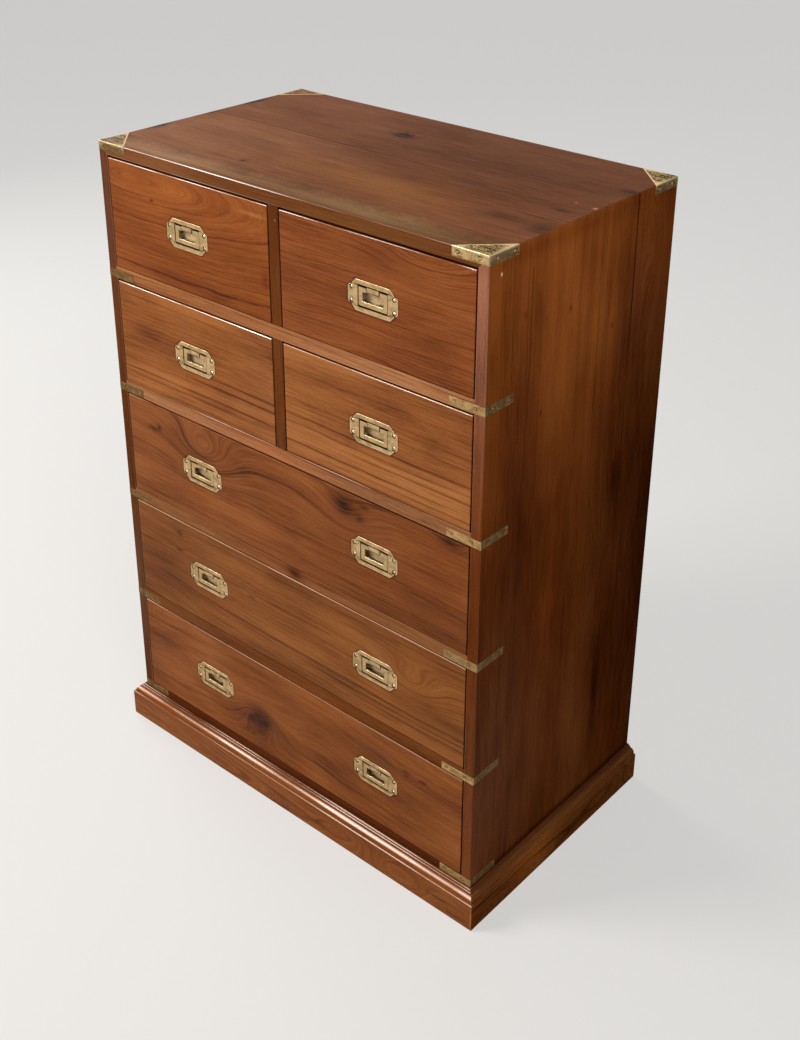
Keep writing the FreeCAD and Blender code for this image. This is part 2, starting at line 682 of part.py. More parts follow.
def moulded_board(name, run, mitred_ends):
    """A plinth board along X from run[0] to run[1], with its outer face towards -Y."""
    body = padded(name, "YZ_Plane", [PLINTH_SECTION], f"({run[1]}) - ({run[0]})")
    pad = body.Tip
    pad_sketch = pad.Profile[0]
    pad_sketch.setExpression("AttachmentOffset.Base.z", run[0])
    doc.recompute()
    corner = (-value(BEAD_OUT), value(OVOLO_TOP))

    def on_corner(point):
        return abs(point.y - corner[0]) < TOUCHING and abs(point.z - corner[1]) < TOUCHING

    ovolo = body.newObject("PartDesign::Fillet", name + "_ovolo")
    ovolo.Base = (pad, edges_where(pad.Shape, on_corner))
    ovolo.setExpression("Radius", f"dim.moulding_ovolo - {OVOLO_MARGIN}")
    doc.recompute()
    waste = []
    for end in mitred_ends:
        outer = run[0] if end < 0 else run[1]
        width = "(dim.plinth_reach + dim.plinth_bearing)"
        waste.append((
            (outer, "-dim.plinth_reach"),
            (outer, "dim.plinth_bearing"),
            (f"({outer}) - ({end}) * {width}", "dim.plinth_bearing"),
        ))
    mitre = body.newObject("PartDesign::Pocket", name + "_mitre")
    mitre.Profile = sketch_on(body, "XY_Plane", waste)
    mitre.Type = "ThroughAll"
    mitre.Reversed = True
    doc.recompute()
    return body


FRONT_RUN = (f"-({HALF_WIDTH} + dim.plinth_reach)", f"{HALF_WIDTH} + dim.plinth_reach")
plinth_front = moulded_board("plinth_front", FRONT_RUN, (-1, 1))
place(plinth_front, "0", FRONT, "0")
node("plinth_front", plinth_front)

right_run = (f"{FRONT} - dim.plinth_reach", BACK)
plinth_right = moulded_board("plinth_right", right_run, (-1,))
plinth_right.Placement = FreeCAD.Placement(FreeCAD.Vector(), FreeCAD.Rotation(Z_AXIS, 90))
place(plinth_right, HALF_WIDTH, "0", "0")
node("plinth_right", plinth_right)

left_run = (f"-{BACK}", f"-({FRONT} - dim.plinth_reach)")
plinth_left = moulded_board("plinth_left", left_run, (1,))
plinth_left.Placement = FreeCAD.Placement(FreeCAD.Vector(), FreeCAD.Rotation(Z_AXIS, -90))
place(plinth_left, f"-{HALF_WIDTH}", "0", "0")
node("plinth_left", plinth_left)

BEARING_HALF = f"({HALF_WIDTH} - dim.plinth_bearing)"
plinth_back = board(
    "plinth_back",
    (f"-{BEARING_HALF}", BEARING_HALF),
    (f"{BACK} - dim.plinth_back_thickness", BACK),
    ("0", PLINTH_TOP),
)
node("plinth_back", plinth_back)

blocks = []
BLOCK_Y = {-1: f"({FRONT} + dim.plinth_bearing)", 1: f"({BACK} - dim.plinth_back_thickness)"}
for side in (-1, 1):
    for end in (-1, 1):
        corner_x = f"({side}) * {BEARING_HALF}"
        triangle = (
            (corner_x, BLOCK_Y[end]),
            (f"{corner_x} - ({side}) * dim.glue_block", BLOCK_Y[end]),
            (corner_x, f"{BLOCK_Y[end]} - ({end}) * dim.glue_block"),
        )
        name = f"plinth_block_{HAND[side]}_{END[end]}"
        block = padded(name, "XY_Plane", [triangle], f"{PLINTH_TOP} - dim.moulding_fillet")
        place(block, "0", "0", "dim.moulding_fillet")
        blocks.append(block)
node("plinth_blocks", grouped("plinth_blocks", blocks))

# ------------------------------------------------------------------ flush pulls
# A pull is a flat plate let in flush, with a dished pan behind its opening. A flat bail
# folds into the opening and turns on a pin in the lug behind the plate's tongue. It is
# made once about its own middle, with the face in the plane y = 0.
PLATE_HALF = "(dim.plate_width / 2)"
PLATE_RISE = "(dim.plate_height / 2)"
BLOCK_HALF = "(dim.plate_block_width / 2)"
EAR_HALF = f"({PLATE_HALF} - dim.plate_ear_length)"
EAR_RISE = "(dim.plate_ear_height / 2)"
NOTCH_RISE = f"({EAR_RISE} + dim.plate_notch)"
OPENING_HALF = "(dim.opening_width / 2)"
OPENING_RISE = "(dim.opening_height / 2)"
TONGUE_HALF = "(dim.tongue_width / 2)"
TONGUE_END = f"({OPENING_RISE} - dim.tongue_height)"


def both_sides(corners):
    """A half outline on the +X side, and its mirror image after it in reverse order."""
    return list(corners) + [(f"-{u}", v) for u, v in reversed(corners)]


PLATE_OUTLINE = both_sides((
    (BLOCK_HALF, PLATE_RISE),
    (EAR_HALF, NOTCH_RISE),
    (EAR_HALF, EAR_RISE),
    (PLATE_HALF, EAR_RISE),
    (PLATE_HALF, f"-{EAR_RISE}"),
    (EAR_HALF, f"-{EAR_RISE}"),
    (EAR_HALF, f"-{NOTCH_RISE}"),
    (BLOCK_HALF, f"-{PLATE_RISE}"),
))
PLATE_OPENING = both_sides((
    (TONGUE_HALF, TONGUE_END),
    (TONGUE_HALF, OPENING_RISE),
    (OPENING_HALF, OPENING_RISE),
    (OPENING_HALF, f"-{OPENING_RISE}"),
))
BAIL_TOP = f"({OPENING_RISE} - dim.bail_swing_gap)"
BAIL_FOOT = f"({OPENING_RISE} - dim.bail_gap)"
BAIL_HALF = f"({OPENING_HALF} - dim.bail_gap)"
ARM_INSIDE = f"({BAIL_HALF} - dim.bail_bar)"
KNUCKLE_INSIDE = f"({TONGUE_HALF} + dim.bail_gap)"
KNUCKLE_FOOT = f"({BAIL_TOP} - dim.bail_bar)"
BAIL_OUTLINE = both_sides((
    (ARM_INSIDE, f"(dim.bail_bar - {BAIL_FOOT})"),
    (ARM_INSIDE, KNUCKLE_FOOT),
    (KNUCKLE_INSIDE, KNUCKLE_FOOT),
    (KNUCKLE_INSIDE, BAIL_TOP),
    (BAIL_HALF, BAIL_TOP),
    (BAIL_HALF, f"-{BAIL_FOOT}"),
))
PIN_DEPTH = "(dim.bail_recess + dim.bail_thickness / 2)"
PIN_RISE = f"({BAIL_TOP} - dim.bail_bar / 2)"


def rod(name, radius, length):
    """A round rod on the bail's axis, centred on the middle of the pull."""
    made = doc.addObject("Part::Cylinder", name)
    made.setExpression("Radius", radius)
    made.setExpression("Height", length)
    made.Placement = FreeCAD.Placement(FreeCAD.Vector(), FreeCAD.Rotation(Y_AXIS, 90))
    place(made, f"-({length}) / 2", PIN_DEPTH, PIN_RISE)
    return made


def tapered_block(name, half_wide, half_high, end_half_wide, end_half_high, depth):
    """A block that tapers from one rectangle at y = 0 to a smaller one at y = depth."""
    made = doc.addObject("Part::Wedge", name)
    halves = {"X": half_wide, "Z": half_high, "X2": end_half_wide, "Z2": end_half_high}
    for prefix, half in halves.items():
        made.setExpression(prefix + "min", f"-({half})")
        made.setExpression(prefix + "max", half)
    made.Ymin = 0
    made.setExpression("Ymax", depth)
    return made


pin_master = rod("bail_pin", "dim.pin_diameter / 2", "dim.pin_length")

SCREW_OUT = f"({PLATE_HALF} - dim.plate_screw_inset)"
PULL_SCREW_PLACES = [
    (f"({across}) * {SCREW_OUT}", f"({up}) * dim.plate_screw_rise")
    for across in (-1, 1)
    for up in (-1, 1)
]
plate_blank = padded(
    "plate_blank", "XZ_Plane", [PLATE_OUTLINE, PLATE_OPENING], "dim.plate_thickness", True
)
lug = board(
    "plate_lug",
    (f"-{TONGUE_HALF}", TONGUE_HALF),
    ("dim.plate_thickness", "dim.plate_thickness + dim.lug_depth"),
    (TONGUE_END, OPENING_RISE),
)
plate_holes = [
    copy_of(screw_hole, f"plate_hole_{index}", (x, "0", z))
    for index, (x, z) in enumerate(PULL_SCREW_PLACES, start=1)
]
plate_with_lug = joined("plate_with_lug", [plate_blank, lug])
plate_master = carved("pull_plate", plate_with_lug, plate_holes + [pin_master])

PAN_HALF = f"({OPENING_HALF} + dim.pan_margin)"
PAN_RISE = f"({OPENING_RISE} + dim.pan_margin)"
pan_outside = tapered_block(
    "pan_outside",
    f"{PAN_HALF} + dim.pan_wall",
    f"{PAN_RISE} + dim.pan_wall",
    f"{PAN_HALF} + dim.pan_wall - dim.pan_taper",
    f"{PAN_RISE} + dim.pan_wall - dim.pan_slope",
    "dim.pan_depth",
)
pan_inside = tapered_block(
    "pan_inside",
    PAN_HALF,
    PAN_RISE,
    f"{PAN_HALF} - dim.pan_taper",
    f"{PAN_RISE} - dim.pan_slope",
    "dim.pan_depth - dim.pan_wall",
)
pan_master = carved("pull_pan", pan_outside, [pan_inside])

bail_blank = padded("bail_blank", "XZ_Plane", [BAIL_OUTLINE], "dim.bail_thickness", True)
face_edges = edges_where(bail_blank.Shape, lambda point: abs(point.y) < TOUCHING)
bevel = bail_blank.newObject("PartDesign::Chamfer", "bail_bevel")
bevel.Base = (bail_blank.Group[1], face_edges)
bevel.setExpression("Size", "dim.bail_chamfer")
doc.recompute()
place(bail_blank, "0", "dim.bail_recess", "0")
bore = rod("bail_bore", "dim.pin_diameter / 2 + dim.pin_clearance", "dim.bore_length")
bail_master = carved("bail", bail_blank, [bore])

# What a pull takes out of the drawer front: its own outline, and a pocket for the pan.
recess_outline = padded(
    "recess_outline", "XZ_Plane", [PLATE_OUTLINE], "dim.plate_thickness", True
)
POCKET_HALF = f"({PAN_HALF} + dim.pan_wall + dim.pan_clearance)"
POCKET_RISE = f"({PAN_RISE} + dim.pan_wall + dim.pan_clearance)"
recess_pocket = board(
    "recess_pocket",
    (f"-{POCKET_HALF}", POCKET_HALF),
    ("0", "dim.plate_thickness + dim.pan_depth + dim.pan_clearance"),
    (f"-{POCKET_RISE}", POCKET_RISE),
)
recess_master = joined("pull_recess", [recess_outline, recess_pocket])

# ------------------------------------------------------------------ drawers
# Each drawer is a front with half-blind dovetails, two sides, a back housed into the
# sides, and a bottom panel in grooves that slides in under the back. The sides run on
# the runners; the front comes to rest against the stops.
FRONT_INSIDE = f"({FRONT} + dim.front_thickness)"
DRAWER_REAR = f"({BACK_INSIDE} - dim.drawer_rear_space)"
COLUMN_MIDDLE = f"(({DIVIDER_HALF} + {INNER_HALF}) / 2)"
LEFT_PULL = f"(-{COLUMN_MIDDLE})"


def dovetails(name, x, z):
    """The tails on the front end of a drawer side that spans x and z."""
    pitch = f"((({z[1]}) - ({z[0]})) / {TAILS})"
    tails = []
    for index in range(TAILS):
        tail = doc.addObject("Part::Wedge", f"{name}_{index + 1}")
        thickness = f"({x[1]}) - ({x[0]})"
        height = f"{pitch} - dim.dovetail_pin"
        for prefix, narrowing in (("", "0"), ("2", "dim.dovetail_slope")):
            tail.setExpression(f"X{prefix}min", "0")
            tail.setExpression(f"X{prefix}max", thickness)
            tail.setExpression(f"Z{prefix}min", narrowing)
            tail.setExpression(f"Z{prefix}max", f"{height} - {narrowing}")
        tail.setExpression("Ymin", "0")
        tail.setExpression("Ymax", "dim.dovetail_depth")
        low = f"({z[0]}) + {index} * {pitch} + dim.dovetail_pin / 2"
        place(tail, x[0], f"{FRONT_INSIDE} - dim.dovetail_depth", low)
        tails.append(tail)
    return tails


def make_drawer(number, row, column, pulls):
    """One drawer in its opening; pulls gives the name ending and the middle of each pull."""
    name = f"drawer_{number}"
    x_low = f"({column[0]} + dim.front_gap)"
    x_high = f"({column[1]} - dim.front_gap)"
    z_low = f"({opening_floor(row)} + dim.front_gap)"
    z_high = f"({opening_head(row)} - dim.front_gap)"
    z_front = (z_low, z_high)
    front_blank = board(name + "_blank", (x_low, x_high), (FRONT, FRONT_INSIDE), z_front)

    side_low = f"({opening_floor(row)} + dim.slide_clearance)"
    side_high = f"({z_high} - dim.drawer_side_drop)"
    x_inner_low = f"({x_low} + dim.drawer_side_thickness)"
    x_inner_high = f"({x_high} - dim.drawer_side_thickness)"
    panel_low = f"({side_low} + dim.drawer_groove_height)"
    panel_high = f"({panel_low} + dim.drawer_bottom_thickness)"

    panel = board(
        name + "_bottom",
        (f"{x_inner_low} - dim.drawer_groove_depth", f"{x_inner_high} + dim.drawer_groove_depth"),
        (f"{FRONT_INSIDE} - dim.drawer_groove_depth", DRAWER_REAR),
        (panel_low, panel_high),
    )
    back_face = f"({DRAWER_REAR} - dim.drawer_back_inset)"
    back = board(
        name + "_back",
        (f"{x_inner_low} - dim.drawer_back_housing", f"{x_inner_high} + dim.drawer_back_housing"),
        (f"{back_face} - dim.drawer_back_thickness", back_face),
        (panel_high, f"{side_high} - dim.drawer_back_drop"),
    )
    sides = []
    all_tails = []
    for hand, x_span in (("left", (x_low, x_inner_low)), ("right", (x_inner_high, x_high))):
        side_name = f"{name}_side_{hand}"
        z_span = (side_low, side_high)
        blank = board(side_name + "_blank", x_span, (FRONT_INSIDE, DRAWER_REAR), z_span)
        tails = dovetails(side_name + "_tail", x_span, z_span)
        all_tails += tails
        with_tails = joined(side_name + "_with_tails", [blank] + tails)
        sides.append(carved(side_name, with_tails, [panel, back]))
    node(name + "_box", grouped(name + "_box", sides + [back, panel]))

    pull_height = f"(({z_low} + {z_high}) / 2)"
    screws = Screws(name + "_screw")
    plates = []
    pins = []
    recesses = []
    for ending, x in pulls:
        at = (x, FRONT, pull_height)
        plates.append(copy_of(plate_master, f"{name}_plate{ending}", at))
        pan_at = (x, f"{FRONT} + dim.plate_thickness", pull_height)
        plates.append(copy_of(pan_master, f"{name}_pan{ending}", pan_at))
        recesses.append(copy_of(recess_master, f"{name}_recess{ending}", at))
        pin_at = (
            f"{x} - dim.pin_length / 2",
            f"{FRONT} + {PIN_DEPTH}",
            f"{pull_height} + {PIN_RISE}",
        )
        pin_turn = FreeCAD.Rotation(Y_AXIS, 90)
        pins.append(copy_of(pin_master, f"{name}_pin{ending}", pin_at, pin_turn))
        bail = copy_of(bail_master, f"{name}_bail{ending}_copy", at)
        node(f"{name}_bail{ending}", grouped(f"{name}_bail{ending}", [bail]))
        for screw_x, screw_z in PULL_SCREW_PLACES:
            screws.drive((f"{x} + {screw_x}", FRONT, f"{pull_height} + {screw_z}"), INTO_BACK)
    waste = all_tails + [panel] + recesses + screws.holes
    node(name + "_front", carved(name + "_front", front_blank, waste))
    node(name + "_plates", grouped(name + "_plates", plates))
    node(name + "_fixings", grouped(name + "_fixings", screws.screws + pins))


for number, row, column in DRAWERS:
    if column == LEFT_COLUMN:
        pulls = [("", LEFT_PULL)]
    elif column == RIGHT_COLUMN:
        pulls = [("", COLUMN_MIDDLE)]
    else:
        pulls = [("_left", LEFT_PULL), ("_right", COLUMN_MIDDLE)]
    make_drawer(number, row, column, pulls)

node("carcase_screws", grouped("carcase_screws", carcase_screws.screws))

# ------------------------------------------------------------------ checks and files
doc.recompute()
failed = [thing.Label for thing in doc.Objects if {"Invalid", "Error"} & set(thing.State)]
if failed:
    raise SystemExit("not made: " + ", ".join(failed))
for sub_part in NODES:
    if sub_part.Shape.isNull() or not sub_part.Shape.isValid():
        raise SystemExit("bad shape: " + sub_part.Label)

os.makedirs("parts", exist_ok=True)
for sub_part in NODES:
    sub_part.Shape.exportStep(f"parts/{sub_part.Label}.step")
print(len(NODES), "nodes,", sum(len(sub_part.Shape.Solids) for sub_part in NODES), "solids")
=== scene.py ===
import math

import bpy
import numpy as np
from mathutils import Matrix, Vector
from mathutils.geometry import tessellate_polygon


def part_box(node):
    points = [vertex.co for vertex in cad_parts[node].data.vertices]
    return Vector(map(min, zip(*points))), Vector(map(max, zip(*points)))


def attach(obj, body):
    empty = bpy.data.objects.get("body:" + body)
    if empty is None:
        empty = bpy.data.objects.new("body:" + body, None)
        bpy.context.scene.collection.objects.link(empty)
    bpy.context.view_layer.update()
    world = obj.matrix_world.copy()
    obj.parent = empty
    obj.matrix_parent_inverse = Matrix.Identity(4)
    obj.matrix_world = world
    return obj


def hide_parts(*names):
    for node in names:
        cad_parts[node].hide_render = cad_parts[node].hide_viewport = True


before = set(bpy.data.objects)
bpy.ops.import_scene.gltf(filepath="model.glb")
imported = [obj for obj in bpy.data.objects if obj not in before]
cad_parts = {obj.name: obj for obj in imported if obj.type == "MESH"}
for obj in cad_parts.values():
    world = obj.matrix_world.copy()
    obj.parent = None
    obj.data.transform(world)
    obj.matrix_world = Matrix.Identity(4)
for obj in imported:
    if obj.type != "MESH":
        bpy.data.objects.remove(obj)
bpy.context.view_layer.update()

MM = 0.001

# ------------------------------------------------------------------ camera
# A standing person's view down on the chest, from the right of its front. The frame is
# a crop of a larger one, which the shift of the lens repeats.
YAW, PITCH, ROLL = 0.6962, 0.4379, 0.0123
ahead = Vector((-math.sin(YAW) * math.cos(PITCH), math.cos(YAW) * math.cos(PITCH), -math.sin(PITCH)))
level = Vector((math.cos(YAW), math.sin(YAW), 0))
upright = level.cross(ahead)
right = level * math.cos(ROLL) + upright * math.sin(ROLL)
up = upright * math.cos(ROLL) - level * math.sin(ROLL)
camera = bpy.data.objects.new("camera", bpy.data.cameras.new("camera"))
bpy.context.scene.collection.objects.link(camera)
camera.matrix_world = Matrix((right, up, -ahead)).transposed().to_4x4()
camera.location = (1.3545, -1.4942, 1.6898)
camera.data.sensor_width = 36
camera.data.lens = 48.66
camera.data.shift_x = -0.0260
camera.data.shift_y = -0.1444
camera.data.clip_start = 0.05
camera.data.clip_end = 60
bpy.context.scene.camera = camera
bpy.context.scene.view_settings.view_transform = "Standard"

# ------------------------------------------------------------------ floor and light
# A plain pale floor under soft light: an even sky, a large lamp in front on the left that
# lights the drawer fronts, and weaker ones on the left and on the right.
FLOOR_REACH = 30.0
FLOOR_PALENESS = 0.52
SKY = (0.94, 0.97, 1.0, 1)
SKY_STRENGTH = 0.18
LAMPS = (
    ("front_lamp", (-2.2, -2.4, 2.7), (0, -0.2, 0.7), 1.8, 124, (1.0, 0.97, 0.92)),
    ("left_lamp", (-3.0, 0.7, 2.1), (0, 0, 1.0), 1.6, 40, (1.0, 0.97, 0.93)),
    ("right_lamp", (1.5, -1.2, 2.3), (0.4, -0.1, 0.9), 1.0, 16, (1.0, 0.96, 0.90)),
)
SQUARE = ((-1, -1), (1, -1), (1, 1), (-1, 1))
floor_mesh = bpy.data.meshes.new("floor")
floor_corners = [(x * FLOOR_REACH, y * FLOOR_REACH, 0) for x, y in SQUARE]
floor_mesh.from_pydata(floor_corners, [], [(0, 1, 2, 3)])
floor = bpy.data.objects.new("floor", floor_mesh)
bpy.context.scene.collection.objects.link(floor)


class Wire:
    """A node's output that can be reckoned with: each sum on it adds one math node."""

    def __init__(self, socket):
        self.socket = socket

    def calc(self, operation, *others):
        """One math node that has this wire as its first value."""
        return put(self.socket.id_data, "Math", dict(enumerate((self, *others))), operation=operation)

    def __add__(self, other):
        return self.calc("ADD", other)

    def __sub__(self, other):
        return self.calc("SUBTRACT", other)

    def __rsub__(self, other):
        return put(self.socket.id_data, "Math", {0: other, 1: self}, operation="SUBTRACT")

    def __mul__(self, other):
        return self.calc("MULTIPLY", other)

    def __truediv__(self, other):
        return self.calc("DIVIDE", other)

    def __pow__(self, other):
        return self.calc("POWER", other)

    def __rpow__(self, other):
        return put(self.socket.id_data, "Math", {0: other, 1: self}, operation="POWER")

    def __abs__(self):
        return self.calc("ABSOLUTE")

    def at_most(self, other):
        return self.calc("MINIMUM", other)

    def at_least(self, other):
        return self.calc("MAXIMUM", other)

    def sibling(self, name):
        """Another output of the same node."""
        return Wire(self.socket.node.outputs[name])


def feed(node, inputs):
    """Links a node's inputs to wires, or sets them to plain values."""
    for name, source in inputs.items():
        if isinstance(source, Wire):
            node.id_data.links.new(source.socket, node.inputs[name])
        else:
            node.inputs[name].default_value = source


def put(tree, kind, inputs=None, output=0, **settings):
    """One output of a new shader node with its inputs fed and its settings made."""
    made = tree.nodes.new("ShaderNode" + kind)
    for key, value in settings.items():
        setattr(made, key, value)
    feed(made, inputs or {})
    return Wire(made.outputs[output])


def new_finish(name):
    """An empty material, its node tree and its surface shader."""
    made = bpy.data.materials.new(name)
    made.use_nodes = True
    return made, made.node_tree, made.node_tree.nodes["Principled BSDF"]


def seen_ray(tree):
    """1 for the rays of the camera, of mirrors and of glass, 0 for the rest."""
    ray = put(tree, "LightPath", output="Is Camera Ray")
    return ray.at_least(ray.sibling("Is Glossy Ray")).at_least(ray.sibling("Is Transmission Ray"))


floor_finish, tree, shader = new_finish("pale_floor")
floor_look = {
    "Base Color": (0.32, 0.315, 0.305, 1),
    "Roughness": 0.9,
    "Specular IOR Level": 0.1,
    "Emission Color": (1.0, 0.985, 0.965, 1),
    "Emission Strength": seen_ray(tree) * FLOOR_PALENESS,
}
feed(shader, floor_look)
floor_mesh.materials.append(floor_finish)

world = bpy.data.worlds.new("studio")
bpy.context.scene.world = world
world.use_nodes = True
sky_strength = seen_ray(world.node_tree).at_least(SKY_STRENGTH)
feed(world.node_tree.nodes["Background"], {"Strength": sky_strength, "Color": SKY})

for name, at, target, size, power, colour in LAMPS:
    lamp = bpy.data.objects.new(name, bpy.data.lights.new(name, "AREA"))
    bpy.context.scene.collection.objects.link(lamp)
    lamp.data.shape = "DISK"
    lamp.data.size = size
    lamp.data.energy = power
    lamp.data.color = colour
    lamp.location = at
    lamp.rotation_euler = (Vector(target) - Vector(at)).to_track_quat("-Z", "Y").to_euler()

# ------------------------------------------------------------------ top and sides
# Three wide teak boards, mitred to each other along the upper corners. Years of use have
# softened their arrises; the right side and the top are each glued up from two boards.
SIDE_LOW, SIDE_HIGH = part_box("right_side")
HALF_WIDTH = SIDE_HIGH.x
FRONT = SIDE_LOW.y
BACK = SIDE_HIGH.y
CARCASE_FOOT = SIDE_LOW.z
CARCASE_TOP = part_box("top_board")[1].z
TOP_THICKNESS = 20 * MM
SIDE_THICKNESS = 18 * MM
INNER_HALF = HALF_WIDTH - SIDE_THICKNESS
ARC_STEPS = 4
STATION = 8 * MM
X_RUN, Y_RUN, Z_RUN, FACE_PLANE = "yzx", "zxy", "xyz", "xzy"


def ramp(value, stops):
    """Colours blended along a value: (place, colour) pairs."""
    made = put(value.socket.id_data, "ValToRGB", {"Fac": value}, output="Color")
    band = made.socket.node.color_ramp
    while len(band.elements) < len(stops):
        band.elements.new(0.5)
    for element, (place, colour) in zip(band.elements, stops):
        element.position = place
        element.color = (*colour, 1)
    return made


def fade(value, start, end, low, high):
    """low up to the start, high from the end on, and straight between."""
    limits = {"From Min": start, "From Max": end, "To Min": low, "To Max": high}
    return put(value.socket.id_data, "MapRange", {"Value": value, **limits})


def blend(amount, below, above, mode="MIX"):
    """One colour over another."""
    below, above = [source if isinstance(source, Wire) else (*source, 1) for source in (below, above)]
    colours = {"Factor": amount, 6: below, 7: above}
    return put(amount.socket.id_data, "Mix", colours, output=2, data_type="RGBA", blend_type=mode)


def speckle(a, b, c, detail=2.0, roughness=0.5):
    """Smooth noise over three numbers, about 0 to 1."""
    tree = a.socket.id_data
    spot = put(tree, "CombineXYZ", {0: a, 1: b, 2: c})
    sizes = {"Vector": spot, "Scale": 1.0, "Detail": detail, "Roughness": roughness, "Distortion": 0.0}
    return put(tree, "TexNoise", sizes, output="Fac")


def oval(along, across, spot):
    """exp(-distance squared) round a place (along, across, half length, half width)."""
    at_along, at_across, long, wide = spot
    a = (along - at_along) / long
    b = (across - at_across) / wide
    return math.e ** ((a * a + b * b) * -1.0)


def millimetres(tree):
    """The place on the chest in millimetres, as a whole and as x, y and z."""
    place = put(tree, "TexCoord", output="Object")
    scaled = put(tree, "VectorMath", {0: place, "Scale": 1000.0}, operation="SCALE")
    x = put(tree, "SeparateXYZ", {0: scaled})
    return scaled, (x, x.sibling("Y"), x.sibling("Z"))


def teak(
    name,
    grain,
    seed,
    base,
    face,
    pith=0.0,
    rise=60.0,
    taper=0.0,
    spacing=6.0,
    wander=10.0,
    rings=0.4,
    fibres=1.0,
    streaks=0.5,
    clouds=0.5,
    swirls=(),
    knots=(),
    bands=(),
    stains=(),
    seams=(),
    gap_shade=0.0,
    settings=(),
    roughness=0.42,
    gloss=0.08,
    worn_and_lit=(0.45, 0.24, 0.15),
    shine=0.0,
    lustre=1.5,
):
    """Oiled teak, worked out in millimetres on the board's own place.

    Growth rings are circles round a pith line that lies `rise` below the face at `pith`
    across the board, and drifts by `taper` along it. Swirls and knots push the rings
    aside, and the fibres follow them. base is the mean colour, face the place of the side
    that shows. Bands darken chosen rings, stains multiply the colour round a place, and
    some stains paint light, shade and sheen; seams are thin lines along the grain. The gap
    shade is painted on the edges of the board just behind its face, in the gaps beside it,
    and round the brass set in it at the settings there is dirt together with painted
    shade: a middle, the half length and width there and where its corners are cut. The
    worn colour on the arrises paints wear and, where it is pale, a highlight; shine is how
    far the arrises are polished, and lustre the index of that polish.
    """
    made, tree, shader = new_finish(name)
    axes = dict(zip("xyz", millimetres(tree)[1]))
    along, across, deep = [axes[letter] for letter in grain]
    off_along = along + seed * 913.7
    deep = abs(deep - face)

    def spread(long, wide, layer, detail=2.0, rough=0.5, over=across):
        """Noise drawn out along the grain, about -0.5 to 0.5."""
        return speckle(off_along / long, over / wide, layer, detail, rough) - 0.5

    side = across - pith + spread(330, 110, seed * 3.1, 2.5) * (wander * 2)
    height = along * taper + rise
    growth = (side * side + height * height).calc("SQRT") + deep * 0.7
    for *spot, push in [*swirls, *[knot[:5] for knot in knots]]:
        growth = growth + oval(along, across, spot) * push
    ring = growth / spacing + spread(60, 14, seed, 1.0, over=growth) * 0.9
    ring_greys = ((0, 0.15), (0.5, 0.3), (0.82, 1), (0.9, 0.8), (1, 0.15))
    late = ramp(ring.calc("FRACT"), [(place, (grey,) * 3) for place, grey in ring_greys])
    which = put(tree, "TexWhiteNoise", {"W": ring.calc("FLOOR")}, output="Value", noise_dimensions="1D")
    late = late * (which ** 6.0 * 0.9 + 0.3)
    fibre = spread(70, 2.2, deep, 3.0, 0.62, growth)
    thread = spread(14, 0.6, deep, 2.0, 0.6, growth)
    broad = spread(420, 15, seed * 7.7, 3.0, 0.6, growth)
    patch = spread(210, 75, seed * 5.3, 2.5)

    tone = (late - 0.18) * (rings * 1.1) + fibre * (1.15 * fibres) + thread * (0.55 * fibres)
    tone = tone + broad * (2.0 * streaks) + patch * (1.2 * clouds)
    for at_ring, width, at_along, half, amount in bands:
        off = (growth - at_ring) / width + fibre * 1.6
        reach = (along - at_along) / half
        reach = reach * (reach * reach)
        tone = tone + math.e ** ((off * off + reach * reach) * -1.0) * amount
    red, green, blue = base
    light = (red * 1.42, green * 1.62, blue * 1.85)
    dark = (red * 0.30, green * 0.22, blue * 0.22)
    colour = ramp(tone + 0.42, ((0.0, light), (0.42, base), (1.0, dark)))
    pores = fade(spread(4.5, 0.30, deep, 1.0, over=growth), 0.10, 0.26, 0.0, 0.6)
    colour = blend(pores, colour, [channel * 0.4 for channel in dark])

    uneven = fibre * 1.5 + 1.0
    for *spot, shade, amount in stains:
        mask = oval(along, across, spot) * amount * uneven
        colour = blend(mask.at_most(1.0), colour, shade, "MULTIPLY")
    for at_along, at_across, long, wide, _, core, amount, hollow in knots:
        heart = oval(along, across, (at_along, at_across, long * core, wide * core))
        eye = oval(along, across, (at_along, at_across, long * core * 0.5, wide * core * 0.5))
        heart = (heart - eye * hollow) * uneven * amount
        colour = blend(heart.at_most(0.97), colour, (0.07, 0.045, 0.04), "MULTIPLY")
    for at, start, end, width, shade, amount in seams:
        line = fade(abs(across - at + patch * 4.0), width * 0.3, width, amount, 0.0)
        half = (end - start) / 2
        inside = fade(abs(along - (start + end) / 2), half * 0.85, half, 1.0, 0.0)
        colour = blend(line * inside, colour, shade, "MULTIPLY")

    # A darker halo round the brass set in the board: dirt together with painted shade.
    for at_along, at_across, half_long, half_wide, cut_corner in settings:
        off_long, off_wide = abs(along - at_along), abs(across - at_across)
        slant = (off_long + off_wide - cut_corner) * 0.707
        away = (off_long - half_long).at_least(off_wide - half_wide).at_least(slant) - fibre * 5.0
        colour = blend(fade(away, -0.5, 3.6, 0.85, 0.0), colour, (0.36, 0.28, 0.22), "MULTIPLY")
    # Painted shade on the board's edges just behind its face, in the gaps beside it.
    if gap_shade:
        painted_shade = fade(deep, 0.5, 1.3, 0.0, gap_shade) * fade(deep, 4.0, 9.0, 1.0, 0.0)
        colour = blend(painted_shade, colour, (0.14, 0.10, 0.08), "MULTIPLY")

